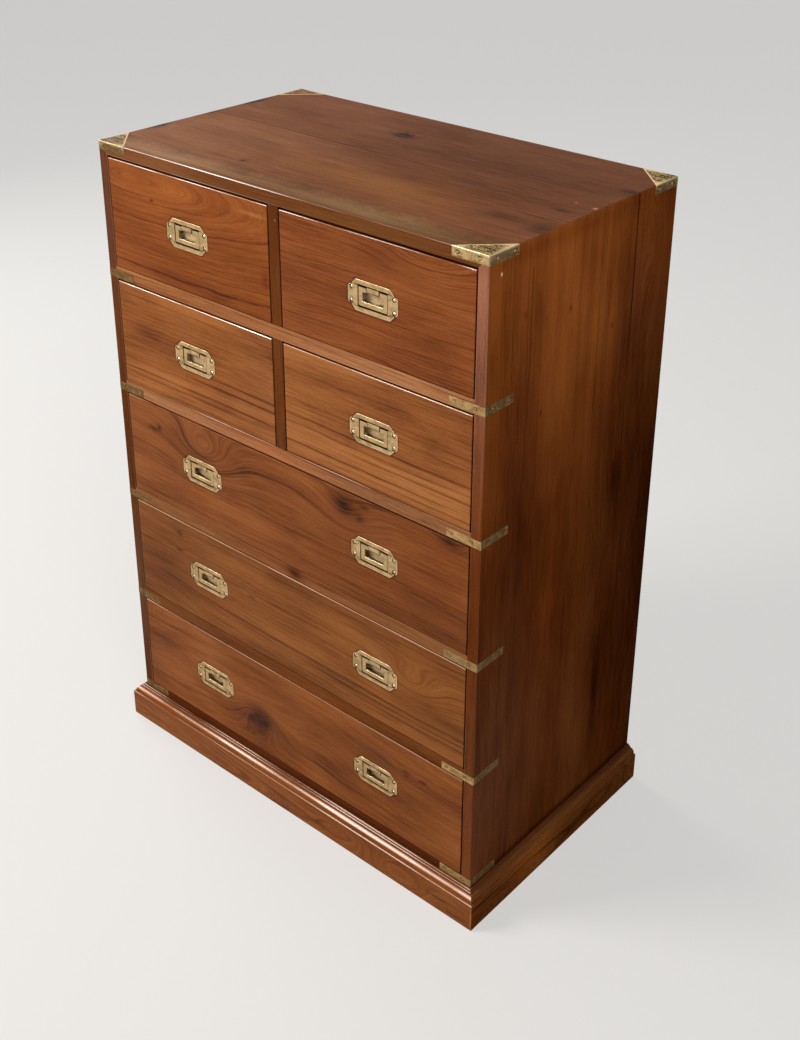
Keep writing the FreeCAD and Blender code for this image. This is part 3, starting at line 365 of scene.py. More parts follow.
    # Arrises take their own colour and a polish: wear, and where that colour is pale, a painted highlight.
    arris = put(tree, "Attribute", output="Fac", attribute_name="arris")
    rubbed_and_lit = fade(arris * (patch * 2.0 + 0.75), 0.25, 0.8, 0.0, 0.85)
    relief = thread * 0.5 + fibre * 0.7 - pores * 0.8
    look = {
        "Base Color": blend(rubbed_and_lit, colour, worn_and_lit),
        "Roughness": fibre * 0.25 + roughness + patch * 0.15 + pores * 0.3,
        "Normal": put(tree, "Bump", {"Height": relief, "Strength": 0.35, "Distance": 0.0002}),
        "Specular IOR Level": gloss,
    }
    if shine:
        look.update({"Coat Weight": (rubbed_and_lit * shine).at_most(1.0), "Coat Roughness": 0.2, "Coat IOR": lustre})
    feed(shader, look)
    return made


def wavering(stations, seed, least, most, length):
    """A value that wanders smoothly between two limits along a row of places."""
    draw = np.random.default_rng(seed)
    count = int((stations[-1] - stations[0]) / length) + 3
    knots = draw.random(count)
    spots = (stations - stations[0]) / length
    cell = np.clip(spots.astype(int), 0, count - 2)
    part = spots - cell
    part = part * part * (3 - 2 * part)
    return least + (most - least) * (knots[cell] * (1 - part) + knots[cell + 1] * part)


def placed(order, *values):
    """Points from three arrays of values; order says which axis each one is."""
    return np.stack([values[order.index(axis)] for axis in "xyz"], -1).reshape(-1, 3)


def net(rows, count):
    """The quads between rows of points, each row a closed ring of count points."""
    ring, row = np.arange(count), np.arange(rows - 1)[:, None] * count
    here, beyond = row + ring, row + (ring + 1) % count
    return np.stack([here, beyond, beyond + count, here + count], -1).reshape(-1, 4)


def capped(rows, count):
    """The faces of a net with a cap on its first and its last ring."""
    ring = np.arange(count)
    return net(rows, count).tolist() + [ring[::-1].tolist(), (ring + (rows - 1) * count).tolist()]


def eased_board(lines, run, order, ease, seed, radii, showing=None, wear_and_highlight=None, end_wear_and_highlight=1.0):
    """A board's closed surface: its cross-section carried along its length.

    Each side of the section is a line (nx, ny, distance), in turn anticlockwise. Side k
    and the next meet in an arc whose radius wanders between two limits along the board,
    and at both ends the sides that show close in by a quarter circle of the size of
    ease. Returns points, faces and how much each point takes the arris colour, which
    paints wear together with a highlight.
    """
    normals = np.array([line[:2] for line in lines], float)
    distances = np.array([line[2] for line in lines], float)
    showing = np.ones(len(lines)) if showing is None else np.array(showing, float)
    wear_and_highlight = np.ones(len(lines)) if wear_and_highlight is None else np.array(wear_and_highlight, float)
    turns = np.linspace(0, math.pi / 2, ARC_STEPS + 1)
    first = run[0] + ease * (1 - np.cos(turns))
    last = (run[1] - ease * (1 - np.cos(turns)))[::-1]
    middle = np.linspace(first[-1], last[0], max(4, int((run[1] - run[0]) / STATION)))[1:-1]
    stations = np.concatenate([first, middle, last])
    closing = ease * (1 - np.sin(turns))
    inset = np.concatenate([closing, np.zeros(len(middle)), closing[::-1]])
    reach = distances[None, :] - inset[:, None] * showing[None, :]
    following = np.roll(np.arange(len(lines)), -1)
    limits = [radii] * len(lines) if np.ndim(radii) == 1 else radii
    radius = np.stack([wavering(stations, seed * 31 + k, *pair, 0.05) for k, pair in enumerate(limits)], 1)
    radius = radius * np.minimum(1, 0.35 + 0.65 * (1 - inset / (ease + 1e-9)))[:, None]
    a, b = normals, normals[following]
    across = a[:, 0] * b[:, 1] - a[:, 1] * b[:, 0]
    p = reach - radius
    q = reach[:, following] - radius
    centre = np.stack([(p * b[:, 1] - q * a[:, 1]) / across, (q * a[:, 0] - p * b[:, 0]) / across], -1)
    start = np.arctan2(a[:, 1], a[:, 0])
    sweep = (np.arctan2(b[:, 1], b[:, 0]) - start) % (2 * math.pi)
    angle = start[:, None] + sweep[:, None] * np.linspace(0, 1, ARC_STEPS + 1)[None, :]
    spoke = np.stack([np.cos(angle), np.sin(angle)], -1)
    section = centre[:, :, None, :] + radius[:, :, None, None] * spoke[None]
    count = len(lines) * (ARC_STEPS + 1)
    section = section.reshape(len(stations), count, 2)
    points = placed(order, section[..., 0], section[..., 1], np.repeat(stations[:, None], count, 1))
    arc = np.sin(np.pi * np.linspace(0, 1, ARC_STEPS + 1))
    arris = np.tile((wear_and_highlight[:, None] * arc[None, :]).reshape(-1), (len(stations), 1))
    turned_in = np.sin(2 * turns)
    ends = np.concatenate([turned_in, np.zeros(len(middle)), turned_in[::-1]])
    arris = arris * (inset < ease * 0.5)[:, None]
    return points, capped(len(stations), count), np.maximum(arris, ends[:, None] * end_wear_and_highlight).reshape(-1)


def box_lines(low, high, order):
    """The four sides of a square-cut board's section, seen along its run."""
    (a_low, a_high), (b_low, b_high) = [(getattr(low, axis), getattr(high, axis)) for axis in order[:2]]
    return ((1, 0, a_high), (0, 1, b_high), (-1, 0, -a_low), (0, -1, -b_low))


def new_piece(name, points, faces, finish, arris=None, hollow=None, sharp=40):
    """A mesh object at the origin with one finish, smooth except at sharp edges.

    arris says how much a point takes the edge colour, which paints wear together with a highlight; hollow how
    much it takes the dark colour, which paints shade in gaps and hollows together with dirt.
    """
    mesh = bpy.data.meshes.new(name)
    mesh.from_pydata(np.asarray(points).tolist(), [], faces)
    if finish is not None:
        mesh.materials.append(finish)
    made = bpy.data.objects.new(name, mesh)
    bpy.context.scene.collection.objects.link(made)
    mark(made, arris=arris, hollow=hollow)
    smoothed(made, sharp)
    return made


def spots_of(piece):
    """Where a piece's points lie."""
    spots = np.zeros(len(piece.data.vertices) * 3)
    piece.data.vertices.foreach_get("co", spots)
    return spots.reshape(-1, 3)


def mark(piece, **layers):
    """Stores on a piece's points how much edge colour (wear with a painted highlight) and dark colour
    (painted shade with dirt) they take.
    """
    for layer, values in layers.items():
        if values is not None:
            made = piece.data.attributes.new(layer, "FLOAT", "POINT")
            made.data.foreach_set("value", np.asarray(values, float))


def smoothed(piece, sharp=40):
    """Shades a piece smooth, keeps its sharp edges, and lets the flats rule the normals."""
    mesh = piece.data
    mesh.shade_smooth()
    mesh.set_sharp_from_angle(angle=math.radians(sharp))
    weighting = piece.modifiers.new("flats", "WEIGHTED_NORMAL")
    weighting.keep_sharp = True
    weighting.weight = 80


def fit(piece, body, slot, *nodes):
    """Fixes a piece to its body and hides the nodes it stands for. slot is not used."""
    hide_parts(*nodes)
    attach(piece, body)


MITRE = math.hypot(SIDE_THICKNESS, TOP_THICKNESS)
MITRE_X = TOP_THICKNESS / MITRE
MITRE_Z = SIDE_THICKNESS / MITRE
MITRE_REACH = MITRE_X * HALF_WIDTH - MITRE_Z * CARCASE_TOP
SLANT = math.sqrt(0.5)
SLANT_REACH = (HALF_WIDTH + CARCASE_TOP) * SLANT - 0.45 * MM
CRISP, PLAIN = (0.3 * MM, 0.6 * MM), (0.2 * MM, 0.5 * MM)
TIGHT, SOFT = (0.03 * MM, 0.05 * MM), (0.7 * MM, 1.6 * MM)
# How strongly the top's arrises are painted pale along their length: wear together with a highlight,
# brightest on the left.
TOP_WEAR_AND_HIGHLIGHT_AT = (-0.28, -0.16, 0, 0.12, 0.22, 0.34)
TOP_WEAR_AND_HIGHLIGHT = (1, 0.72, 0.6, 0.95, 0.42, 0.38)
top_lines = (
    (1, 0, CARCASE_TOP),
    (SLANT, SLANT, SLANT_REACH),
    (-MITRE_Z, MITRE_X, MITRE_REACH),
    (-1, 0, -(CARCASE_TOP - TOP_THICKNESS)),
    (-MITRE_Z, -MITRE_X, MITRE_REACH),
    (SLANT, -SLANT, SLANT_REACH),
)
top_finish = teak(
    "top_teak", "xyz", seed=1.0, base=(0.205, 0.066, 0.020), face=CARCASE_TOP / MM,
    pith=-170, rise=60, spacing=9, rings=0.15, streaks=0.20, clouds=0.6, fibres=0.8,
    knots=((-50, 123, 30, 17, 26, 0.62, 1.5, 0.55),),
    stains=(
        # The pale, bluish stains on the left and along the front paint the top's sheen.
        (-300, -60, 240, 170, (1.30, 1.55, 2.0), 0.9),
        (190, 110, 330, 150, (0.72, 0.64, 0.55), 0.9),
        (0, -212, 900, 1.3, (0.84, 0.60, 0.38), 1.0),
        (-200, -188, 140, 24, (1.6, 2.3, 3.0), 0.9),
        (180, -188, 200, 24, (1.06, 1.7, 1.9), 0.9),
        (100, -80, 200, 50, (1.36, 1.46, 1.1), 0.9),
        (120, 70, 260, 100, (0.74, 0.66, 0.40), 0.9),
        (0, -206, 420, 5, (0.72, 0.74, 0.80), 0.9),
        (-378, 116, 9, 22, (0.12, 0.12, 0.12), 1.3),
        (-379, 18, 7, 12, (0.12, 0.12, 0.12), 1.0),
        (-378, -92, 9, 22, (0.12, 0.12, 0.12), 1.3),
        (372, 118, 20, 10, (0.12, 0.12, 0.12), 0.9),
        (368, -88, 22, 24, (0.3, 0.3, 0.3), 0.9),
        (345, -10, 14, 5, (0.2, 0.2, 0.2), 0.9),
        (300, -82, 40, 12, (0.45, 0.42, 0.4), 0.9),
        (340, -52, 26, 3, (0.5, 0.45, 0.42), 0.9),
        (330, -120, 30, 2.5, (0.5, 0.45, 0.42), 0.9),
        (374, 26, 3, 3, (4, 6, 9), 1.0),
        (340, 30, 3, 1.5, (3, 4, 6), 0.9),
        (-137, -137, 6, 4, (0.2, 0.15, 0.12), 0.9),
    ),
    seams=((26.5, -390, 100, 2.6, (0.50, 0.45, 0.40), 0.9), (21.0, -390, 60, 2.4, (1.4, 1.45, 1.5), 0.8)),
    roughness=0.45, gloss=0.02, worn_and_lit=(0.95, 0.72, 0.60), shine=1.4, lustre=1.9,
)
points, faces, arris = eased_board(
    top_lines, (FRONT, BACK), Y_RUN, ease=1.8 * MM, seed=5, radii=(SOFT, TIGHT, CRISP, CRISP, TIGHT, SOFT),
    showing=(1, 1, 0, 1, 0, 1), wear_and_highlight=(0.55, 0.2, 0, 0, 0.2, 0.55),
)
arris = arris * np.interp(points[:, 0], TOP_WEAR_AND_HIGHLIGHT_AT, TOP_WEAR_AND_HIGHLIGHT)
fit(new_piece("top", points, faces, top_finish, arris), "carcase", "top_wood", "top_board")

side_lines = (
    (SLANT, SLANT, SLANT_REACH),
    (-MITRE_X, MITRE_Z, -MITRE_REACH),
    (-1, 0, -INNER_HALF),
    (0, -1, -CARCASE_FOOT),
    (1, 0, HALF_WIDTH),
)
side_colours = (
    (-1, "left_side", (0.190, 0.052, 0.011), 0.4, (0.59, 0.68, 0.70), (0.72, 0.95, 3.0)),
    (1, "right_side", (0.222, 0.052, 0.0085), 0.95, (0.72, 0.65, 0.50), (1.20, 2.3, 9.0)),
)
for hand, node, base, upper_front_lit, front_edge, upper_front_edge in side_colours:
    points, faces, arris = eased_board(
        side_lines, (FRONT, BACK), FACE_PLANE, ease=1.4 * MM, seed=9 + hand,
        radii=(TIGHT, PLAIN, PLAIN, CRISP, SOFT), showing=(1, 0, 1, 1, 1), wear_and_highlight=(0.3, 0, 0.2, 0.3, 0.5),
        end_wear_and_highlight=0.85,
    )
    outer_edge = (points[:, 0] > HALF_WIDTH - 4 * MM) & (points[:, 2] < CARCASE_TOP - 25 * MM)
    arris = arris * np.where(outer_edge, 0.34, 1)
    points = points * (hand, 1, 1)
    if hand > 0:
        faces = [face[::-1] for face in faces]
    side_finish = teak(
        f"{node}_teak", "zyx", seed=4.0 + hand, base=base, face=hand * HALF_WIDTH / MM,
        pith=340, rise=60, spacing=8, rings=0.22, streaks=0.3, clouds=0.9, fibres=0.85, wander=10,
        swirls=((560, 110, 120, 40, 18), (1000, 190, 90, 26, 26)),
        stains=(
            # The first stain paints light on the upper front of the board and the second paints shade on its
            # lower rear; the bluish stain low at the front paints a pale reflection.
            (1000, -30, 255, 290, (2.4, 2.8, 3.4), upper_front_lit),
            (470, 240, 520, 190, (0.36, 0.35, 0.42), 1.0),
            (650, -130, 170, 90, (0.72, 0.66, 0.6), 0.85),
            (470, 50, 260, 24, (1.22, 1.25, 1.1), 0.9),
            (230, -170, 260, 130, (1.06, 1.45, 3.8), 0.8),
            (250, 60, 330, 45, (1.18, 1.38, 2.1), 0.9),
            (0, -212, 4000, 1.3, front_edge, 1.0),
            (1000, -212, 255, 1.3, upper_front_edge, 0.95),
            (760, 120, 140, 70, (0.70, 0.62, 0.60), 0.9),
            (480, -40, 120, 50, (1.25, 1.15, 1.0), 0.9),
            (340, 120, 220, 80, (1.0, 0.94, 0.85), 0.9),
            (700, -130, 320, 40, (0.66, 0.62, 0.85), 0.9),
            (900, 60, 80, 36, (1.65, 1.85, 2.0), 0.9),
            (560, -190, 90, 24, (0.84, 0.76, 0.74), 0.9),
            (300, -195, 120, 24, (1.10, 1.22, 1.4), 0.9),
            (900, 140, 120, 50, (0.66, 0.60, 0.85), 0.9),
            (640, 118, 50, 16, (0.4, 0.32, 0.28), 0.9),
            (520, 150, 90, 40, (1.4, 1.5, 2.0), 0.9),
            (250, 104, 90, 11, (0.35, 0.3, 0.3), 0.9),
            (1075, -60, 14, 200, (0.75, 0.68, 0.6), 0.8),
            (64, 0, 9, 400, (0.35, 0.28, 0.22), 1.0),
            (965, -28, 5, 3, (0.5, 0.42, 0.35), 0.9),
            (987, -131, 5, 3, (0.5, 0.42, 0.35), 0.9),
            (906, 79, 4, 3, (0.5, 0.42, 0.35), 0.9),
            (829, -87, 5, 3, (0.5, 0.42, 0.35), 0.9),
            (1059, -186, 2.2, 1.5, (4, 8, 30), 1.2),
        ),
        seams=(
            (128, 840, 1110, 1.8, (0.22, 0.18, 0.15), 0.95),
            (128, 60, 900, 1.3, (0.45, 0.4, 0.35), 0.7),
            (-118, 820, 1057, 1.0, (0.3, 0.25, 0.2), 0.8),
            (110, 670, 757, 1.2, (1.8, 1.8, 1.8), 0.8),
        ),
        roughness=0.45, gloss=0.0, worn_and_lit=(0.50, 0.25, 0.14),
    )
    side = new_piece(node + "_board", points, faces, side_finish, arris)
    fit(side, "carcase", "carcase_wood", node)

# ------------------------------------------------------------------ rails and dividers
# Straight-grained teak, tenoned into the sides and into each other, flush with the front.
# Hands and drawers have rubbed the rails paler than the fronts; the bottom rail is painted dark as shade.
RAIL_COLOURS = {
    "rail_1": (0.375, 0.138, 0.049),
    "rail_2": (0.400, 0.160, 0.065),
    "rail_3": (0.303, 0.114, 0.039),
    "rail_4": (0.218, 0.063, 0.0145),
    # The bottom rail's colour is painted shade.
    "bottom_rail": (0.105, 0.024, 0.0045),
}
RAIL_STAINS = (
    (20, 476, 16, 14, (0.35, 0.28, 0.25), 0.9),
    (240, 877, 200, 40, (1.5, 1.75, 2.1), 0.95),
    (240, 676, 200, 30, (0.94, 0.96, 1.0), 0.9),
    (260, 272, 160, 20, (0.80, 0.76, 0.66), 0.9),
    (0, 676, 120, 30, (1.05, 0.90, 0.80), 0.9),
    (0, 476, 160, 30, (0.93, 0.76, 0.68), 0.9),
    (-200, 272, 140, 20, (0.95, 1.05, 1.3), 0.9),
)
RUBBED_AND_LIT_STRETCH = (-0.24, -0.16, 0.12, 0.20)
for number, (node, base) in enumerate(RAIL_COLOURS.items(), start=1):
    # rail_2's upper arris is painted pale and polished: wear together with a highlight.
    rubbed_and_lit_rail = node == "rail_2"
    low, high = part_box(node)
    low.x, high.x = -INNER_HALF, INNER_HALF
    rail_finish = teak(
        f"{node}_teak", "xzy", seed=20.0 + number, base=base, face=FRONT / MM,
        pith=-260, rise=30, wander=5, rings=0.3, stains=RAIL_STAINS, gap_shade=0.9, gloss=0.02,
        worn_and_lit=(0.85, 0.55, 0.40) if rubbed_and_lit_rail else (0.50, 0.22, 0.10),
        shine=0.6 if rubbed_and_lit_rail else 0.0,
    )
    points, faces, arris = eased_board(
        box_lines(low, high, X_RUN), (low.x, high.x), X_RUN, ease=0.2 * MM, seed=40 + number,
        radii=(0.8 * MM, 1.2 * MM) if rubbed_and_lit_rail else (0.25 * MM, 0.6 * MM), wear_and_highlight=(0, 1, 0.5, 0),
    )
    share = np.interp(points[:, 0], RUBBED_AND_LIT_STRETCH, (0.1, 1, 1, 0.2)) if rubbed_and_lit_rail else 0.45
    rail = new_piece(node + "_board", points, faces, rail_finish, arris * share)
    fit(rail, "carcase", "rail_wood", node)


def together(parts):
    """Several closed surfaces as one set of points and faces."""
    points, faces, start = [], [], 0
    for spots, sides in parts:
        points.append(spots)
        faces += [[int(index) + start for index in side] for side in sides]
        start += len(spots)
    return np.concatenate(points), faces


divider_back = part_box("dividers")[1].y
rail_1_low, rail_1_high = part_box("rail_1")
rail_2_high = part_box("rail_2")[1]
DIVIDER_HALF = 10 * MM
uprights = ((1, rail_1_high.z, CARCASE_TOP - TOP_THICKNESS), (2, rail_2_high.z, rail_1_low.z))
divider_boards = []
for number, foot, head in uprights:
    low, high = Vector((-DIVIDER_HALF, FRONT, foot)), Vector((DIVIDER_HALF, divider_back, head))
    divider_boards.append(
        eased_board(
            box_lines(low, high, Z_RUN), (foot, head), Z_RUN, ease=0.1 * MM, seed=60 + number,
            radii=(0.3 * MM, 0.8 * MM), wear_and_highlight=(0, 0, 0.6, 0.6),
        )
    )
divider_finish = teak(
    "divider_teak", "zxy", seed=31.0, base=(0.165, 0.046, 0.0105), face=FRONT / MM,
    pith=-200, rise=20, wander=3, rings=0.3, gap_shade=0.9, gloss=0.02, worn_and_lit=(0.36, 0.13, 0.05),
    stains=(
        (1059, 3.6, 2.2, 2.2, (0.35, 0.3, 0.3), 1.2),
        (1059, 3.6, 1.2, 1.2, (5, 8, 14), 1.2),
        (1049, 3.6, 1.2, 1.2, (4, 6, 10), 1.2),
        (1050, 0, 70, 30, (0.76, 0.72, 0.52), 0.9),
        (700, 0, 30, 30, (0.80, 0.78, 0.80), 0.9),
        (880, 0, 60, 30, (1.15, 1.2, 1.2), 0.9),
    ),
)
points, faces = together([board[:2] for board in divider_boards])
arris = np.concatenate([board[2] for board in divider_boards])
fit(new_piece("divider_boards", points, faces, divider_finish, arris), "carcase", "rail_wood", "dividers")

# ------------------------------------------------------------------ plinth
# Teak boards with a moulded upper edge: a ledge, a fillet, a quarter round and a bead,
# worked with planes, then mitred round the front corners and glued to blocks behind.
PLINTH_HEIGHT = CARCASE_FOOT
LEDGE, FILLET, OVOLO, BEAD, REACH, BEARING = (size * MM for size in (4, 2.5, 8, 1.5, 18, 12))
FINE = 0.35 * MM


def rounded_path(corners, radii, steps=3):
    """An open path whose inner corners are turned by arcs of the given radii."""
    corners = np.array(corners, float)
    path = [corners[:1]]
    for before, corner, after, radius in zip(corners, corners[1:], corners[2:], radii):
        back, ahead = before - corner, after - corner
        back, ahead = back / np.linalg.norm(back), ahead / np.linalg.norm(ahead)
        half = math.acos(np.clip(back @ ahead, -1, 1)) / 2
        if radius <= 0 or half > 1.56:
            path.append(corner[None])
            continue
        leave = corner + back * radius / math.tan(half)
        middle = (back + ahead) / np.linalg.norm(back + ahead)
        centre = corner + middle * radius / math.sin(half)
        begin = leave - centre
        end = corner + ahead * radius / math.tan(half) - centre
        t = np.linspace(0, 1, steps + 1)[:, None]
        sweep = math.pi - 2 * half
        path.append(centre + (np.sin((1 - t) * sweep) * begin + np.sin(t * sweep) * end) / math.sin(sweep))
    path.append(corners[-1:])
    return np.concatenate(path)


ovolo_top = PLINTH_HEIGHT - 2 * FILLET
ovolo_foot = ovolo_top - OVOLO - BEAD
ovolo_out = LEDGE + FILLET
plinth_profile = rounded_path(
    (
        (-BEARING, 0),
        (REACH, 0),
        (REACH, ovolo_foot - 2 * MM),
        (REACH, ovolo_foot),
        (ovolo_out + OVOLO, ovolo_foot),
        (ovolo_out + OVOLO, ovolo_top),
        (ovolo_out, ovolo_top),
        (ovolo_out, PLINTH_HEIGHT - FILLET),
        (LEDGE, PLINTH_HEIGHT - FILLET),
        (LEDGE, PLINTH_HEIGHT),
        (0.8 * MM, PLINTH_HEIGHT),
        (-BEARING, PLINTH_HEIGHT),
    ),
    (1.2 * MM, 0, 0.9 * MM, FINE, OVOLO - 0.4 * MM, FINE, FINE * 1.6, FINE, FINE * 1.6, 0),
    8,
)


def polished_and_lit_at(spot, reach):
    """1 at the profile's points within reach of a spot, falling off smoothly."""
    away = np.linalg.norm(plinth_profile - np.array(spot), axis=1) / reach
    return np.exp(-away ** 4)


# Polish and painted highlight on the moulding: on the quarter round where it turns halfway between the front
# lamp and the camera, and on the edges of the bead, the fillet and the ledge.
ovolo_highlight_spot = np.array((ovolo_out, ovolo_top - OVOLO)) + OVOLO * np.array((0.62, 0.78))
plinth_polish_and_highlight = np.maximum.reduce(
    [
        polished_and_lit_at(ovolo_highlight_spot, 3.2 * MM),
        0.8 * polished_and_lit_at((REACH, ovolo_foot), 1.3 * MM),
        polished_and_lit_at((ovolo_out, PLINTH_HEIGHT - FILLET), 1.6 * MM),
        polished_and_lit_at((LEDGE, PLINTH_HEIGHT), 1.7 * MM),
    ]
)
PLINTH_STATIONS = 60


def moulding(start, stop, outward, mitred):
    """The plinth's profile carried straight from start to stop, mitred where it turns.

    A point that stands further out runs on further past a mitred end.
    """
    start, stop = np.array(start, float), np.array(stop, float)
    direction = (stop - start) / np.linalg.norm(stop - start)
    standing_out, height = plinth_profile[:, :1], plinth_profile[:, 1]
    out = standing_out * np.array([outward])
    first = start + out - direction * standing_out * mitred[0]
    last = stop + out + direction * standing_out * mitred[1]
    part = np.linspace(0, 1, PLINTH_STATIONS)[:, None, None]
    level = (1 - part) * first + part * last
    points = placed(Z_RUN, level[..., 0], level[..., 1], np.broadcast_to(height, level.shape[:2]))
    count = len(plinth_profile)
    ring = np.arange(count)
    quads = net(PLINTH_STATIONS, count)[:, [0, 3, 2, 1]].tolist()
    return points, quads + [ring.tolist(), (ring[::-1] + (PLINTH_STATIONS - 1) * count).tolist()]


plinth_runs = (
    ("plinth_front", (-HALF_WIDTH, FRONT), (HALF_WIDTH, FRONT), (0, -1), (1, 1), "xzy", 51),
    ("plinth_right", (HALF_WIDTH, FRONT), (HALF_WIDTH, BACK), (1, 0), (1, 0), "yzx", 52),
    ("plinth_left", (-HALF_WIDTH, BACK), (-HALF_WIDTH, FRONT), (-1, 0), (0, 1), "yzx", 53),
)
PLINTH_LOOKS = {
    "plinth_front": dict(base=(0.275, 0.078, 0.013), worn_and_lit=(0.98, 0.68, 0.54), shine=1.5, gloss=0.08),
    "plinth_right": dict(base=(0.262, 0.080, 0.021), worn_and_lit=(0.22, 0.085, 0.03), gloss=0.0),
    "plinth_left": dict(base=(0.262, 0.080, 0.021), worn_and_lit=(0.22, 0.085, 0.03), gloss=0.0),
}
DARK_LINE = (0, 65, 4000, 5, (0.30, 0.24, 0.20), 1.0)
SOFT_STAINS = ((-140, 30, 150, 60, (1.0, 1.0, 0.95), 0.9), (130, 30, 130, 60, (1.08, 1.05, 0.98), 0.9))
PLINTH_STAINS = {
    "plinth_front": (
        *SOFT_STAINS,
        (336, 24, 26, 2.2, (0.42, 0.34, 0.3), 0.9),
        (366, 9, 20, 1.8, (0.42, 0.34, 0.3), 0.9),
        (397, 22, 1.5, 22, (2.0, 2.5, 4.0), 0.9),
    ),
    "plinth_right": (
        # Painted light toward the front of the board and painted shade toward its back.
        (-140, 30, 150, 60, (1.2, 1.15, 0.9), 0.9),
        (130, 30, 130, 60, (0.72, 0.66, 0.45), 0.9),
        (-60, 30, 60, 60, (1.75, 1.8, 1.6), 0.9),
    ),
    "plinth_left": SOFT_STAINS,
}
for node, start, stop, outward, mitred, grain, seed in plinth_runs:
    points, faces = moulding(start, stop, outward, mitred)
    plinth_finish = teak(
        f"{node}_teak", grain, seed=float(seed), face=(outward[0] * HALF_WIDTH or FRONT) / MM,
        pith=15, rise=26, taper=0.05, wander=16, rings=0.5, roughness=0.38,
        swirls=((250, 20, 60, 22, 26), (120, 30, 40, 12, -14)),
        stains=(DARK_LINE, *PLINTH_STAINS[node]),
        **PLINTH_LOOKS[node],
    )
    arris = np.tile(plinth_polish_and_highlight, PLINTH_STATIONS)
    plinth = new_piece(node + "_board", points, faces, plinth_finish, arris, sharp=35)
    fit(plinth, "carcase", "plinth_wood", node)

# ------------------------------------------------------------------ inner woodwork
# Planed, unpolished secondary wood: back and bottom boards, runners, guides, stops, the
# plinth's rear board and its glue blocks, and the drawer boxes. The finish runs along
# the longest way of each.
bare_grain = {
    "back_boards": "zxy",
    "bottom_board": "xyz",
    "side_runners": "yxz",
    "centre_runners": "yxz",
    "drawer_stops": "xyz",
    "plinth_back": "xzy",
    "plinth_blocks": "zxy",
}
for number in range(1, 8):
    bare_grain[f"drawer_{number}_box"] = "yzx"
for seed, (node, grain) in enumerate(bare_grain.items(), start=70):
    bare_finish = teak(
        f"{node}_bare", grain, seed=float(seed), base=(0.41, 0.232, 0.112), face=0.0,
        pith=-180, rise=40, spacing=8, rings=0.12 if node.endswith("box") else 0.35, roughness=0.62,
    )
    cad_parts[node].data.materials.clear()
    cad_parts[node].data.materials.append(bare_finish)

# ------------------------------------------------------------------ corner straps
# Straps of sheet brass, bent round each front corner at a rail and let in almost flush.
# Each is held by two countersunk screws on either face; the brass has aged to a dull gold.
STRAP_LEG = 60 * MM
STRAP_WIDTH = 14 * MM
STRAP_DROP = 2.5 * MM
STRAP_EASE = 0.35 * MM
BRASS_THICKNESS = 1.5 * MM
BRASS_PROUD = 0.2 * MM
BEND_RADIUS = 1.0 * MM
OUTER_X = HALF_WIDTH + BRASS_PROUD
OUTER_Y = FRONT - BRASS_PROUD
SCREW_REACHES = (16 * MM, 51 * MM)
SUNK_REACH, SUNK_FROM, SUNK_TO = 3.3 * MM, 0.15 * MM, 3 * MM
IN_PLANE = 0.02 * MM
FACES = {-1: FRONT, 1: BACK}


def wall_steps(span, eases):
    """Levels and insets of a wall whose two ends turn in by quarter circles."""
    turns = np.linspace(0, math.pi / 2, 4)
    levels, insets = [], []
    for ease, level, way in ((eases[0], span[0], 1), (eases[1], span[1], -1)):
        if ease > 0:
            rise = level + way * ease * (1 - np.cos(turns))
            inset = ease * (1 - np.sin(turns))
        else:
            rise, inset = np.array([level]), np.array([0.0])
        levels.append(rise if way > 0 else rise[::-1])
        insets.append(inset if way > 0 else inset[::-1])
    return np.concatenate(levels), np.concatenate(insets)


def outward(loop):
    """For each corner of an anticlockwise outline, the way that moves both its walls by 1."""
    edge = np.roll(loop, -1, 0) - loop
    edge = edge / np.linalg.norm(edge, axis=1, keepdims=True)
    wall = np.stack([edge[:, 1], -edge[:, 0]], -1)
    before = np.roll(wall, 1, 0)
    return (before + wall) / (1 + (before * wall).sum(1, keepdims=True))


def slab(loops, walls, order):
    """A flat piece cut to an outline, with holes. Its faces are closed by caps.

    loops are outlines in the plane, the outer one anticlockwise and holes clockwise.
    walls gives each loop's levels and how far it is inset there.
    """
    points, faces, low_names, high_names = [], [], [], []
    start = 0
    for loop, (levels, insets) in zip(loops, walls):
        loop = np.array(loop, float)
        rings = loop[None] - insets[:, None, None] * outward(loop)[None]
        count = len(loop)
        heights = np.repeat(levels[:, None, None], count, 1)
        points.append(np.concatenate([rings, heights], -1).reshape(-1, 3))
        faces += (net(len(levels), count) + start).tolist()
        low_names += range(start, start + count)
        start += len(levels) * count
        high_names += range(start - count, start)
    if len(loops) == 1:
        faces += [low_names[::-1], high_names]
    else:
        corners = np.concatenate(loops) / MM
        outlines = [[Vector((x / MM, y / MM, 0)) for x, y in loop] for loop in loops]
        for triangle in tessellate_polygon(outlines):
            a, b, c = corners[list(triangle)]
            turn = (b[0] - a[0]) * (c[1] - a[1]) - (b[1] - a[1]) * (c[0] - a[0])
            order_up = triangle if turn > 0 else triangle[::-1]
            faces.append([high_names[i] for i in order_up])
            faces.append([low_names[i] for i in reversed(order_up)])
    if order == FACE_PLANE:
        faces = [face[::-1] for face in faces]
    return placed(order, *np.concatenate(points).T), faces


def cut(piece, cutter):
    """Takes the cutter's volume out of a piece, and removes the cutter."""
    piece.modifiers.clear()
    carving = piece.modifiers.new("cut", "BOOLEAN")
    carving.operation = "DIFFERENCE"
    carving.solver = "EXACT"
    carving.object = cutter
    bpy.context.view_layer.update()
    whole = piece.data
    piece.data = bpy.data.meshes.new_from_object(
        piece.evaluated_get(bpy.context.evaluated_depsgraph_get())
    )
    piece.modifiers.clear()
    name = whole.name
    bpy.data.meshes.remove(whole)
    piece.data.name = name
    bpy.data.objects.remove(cutter)
    smoothed(piece)


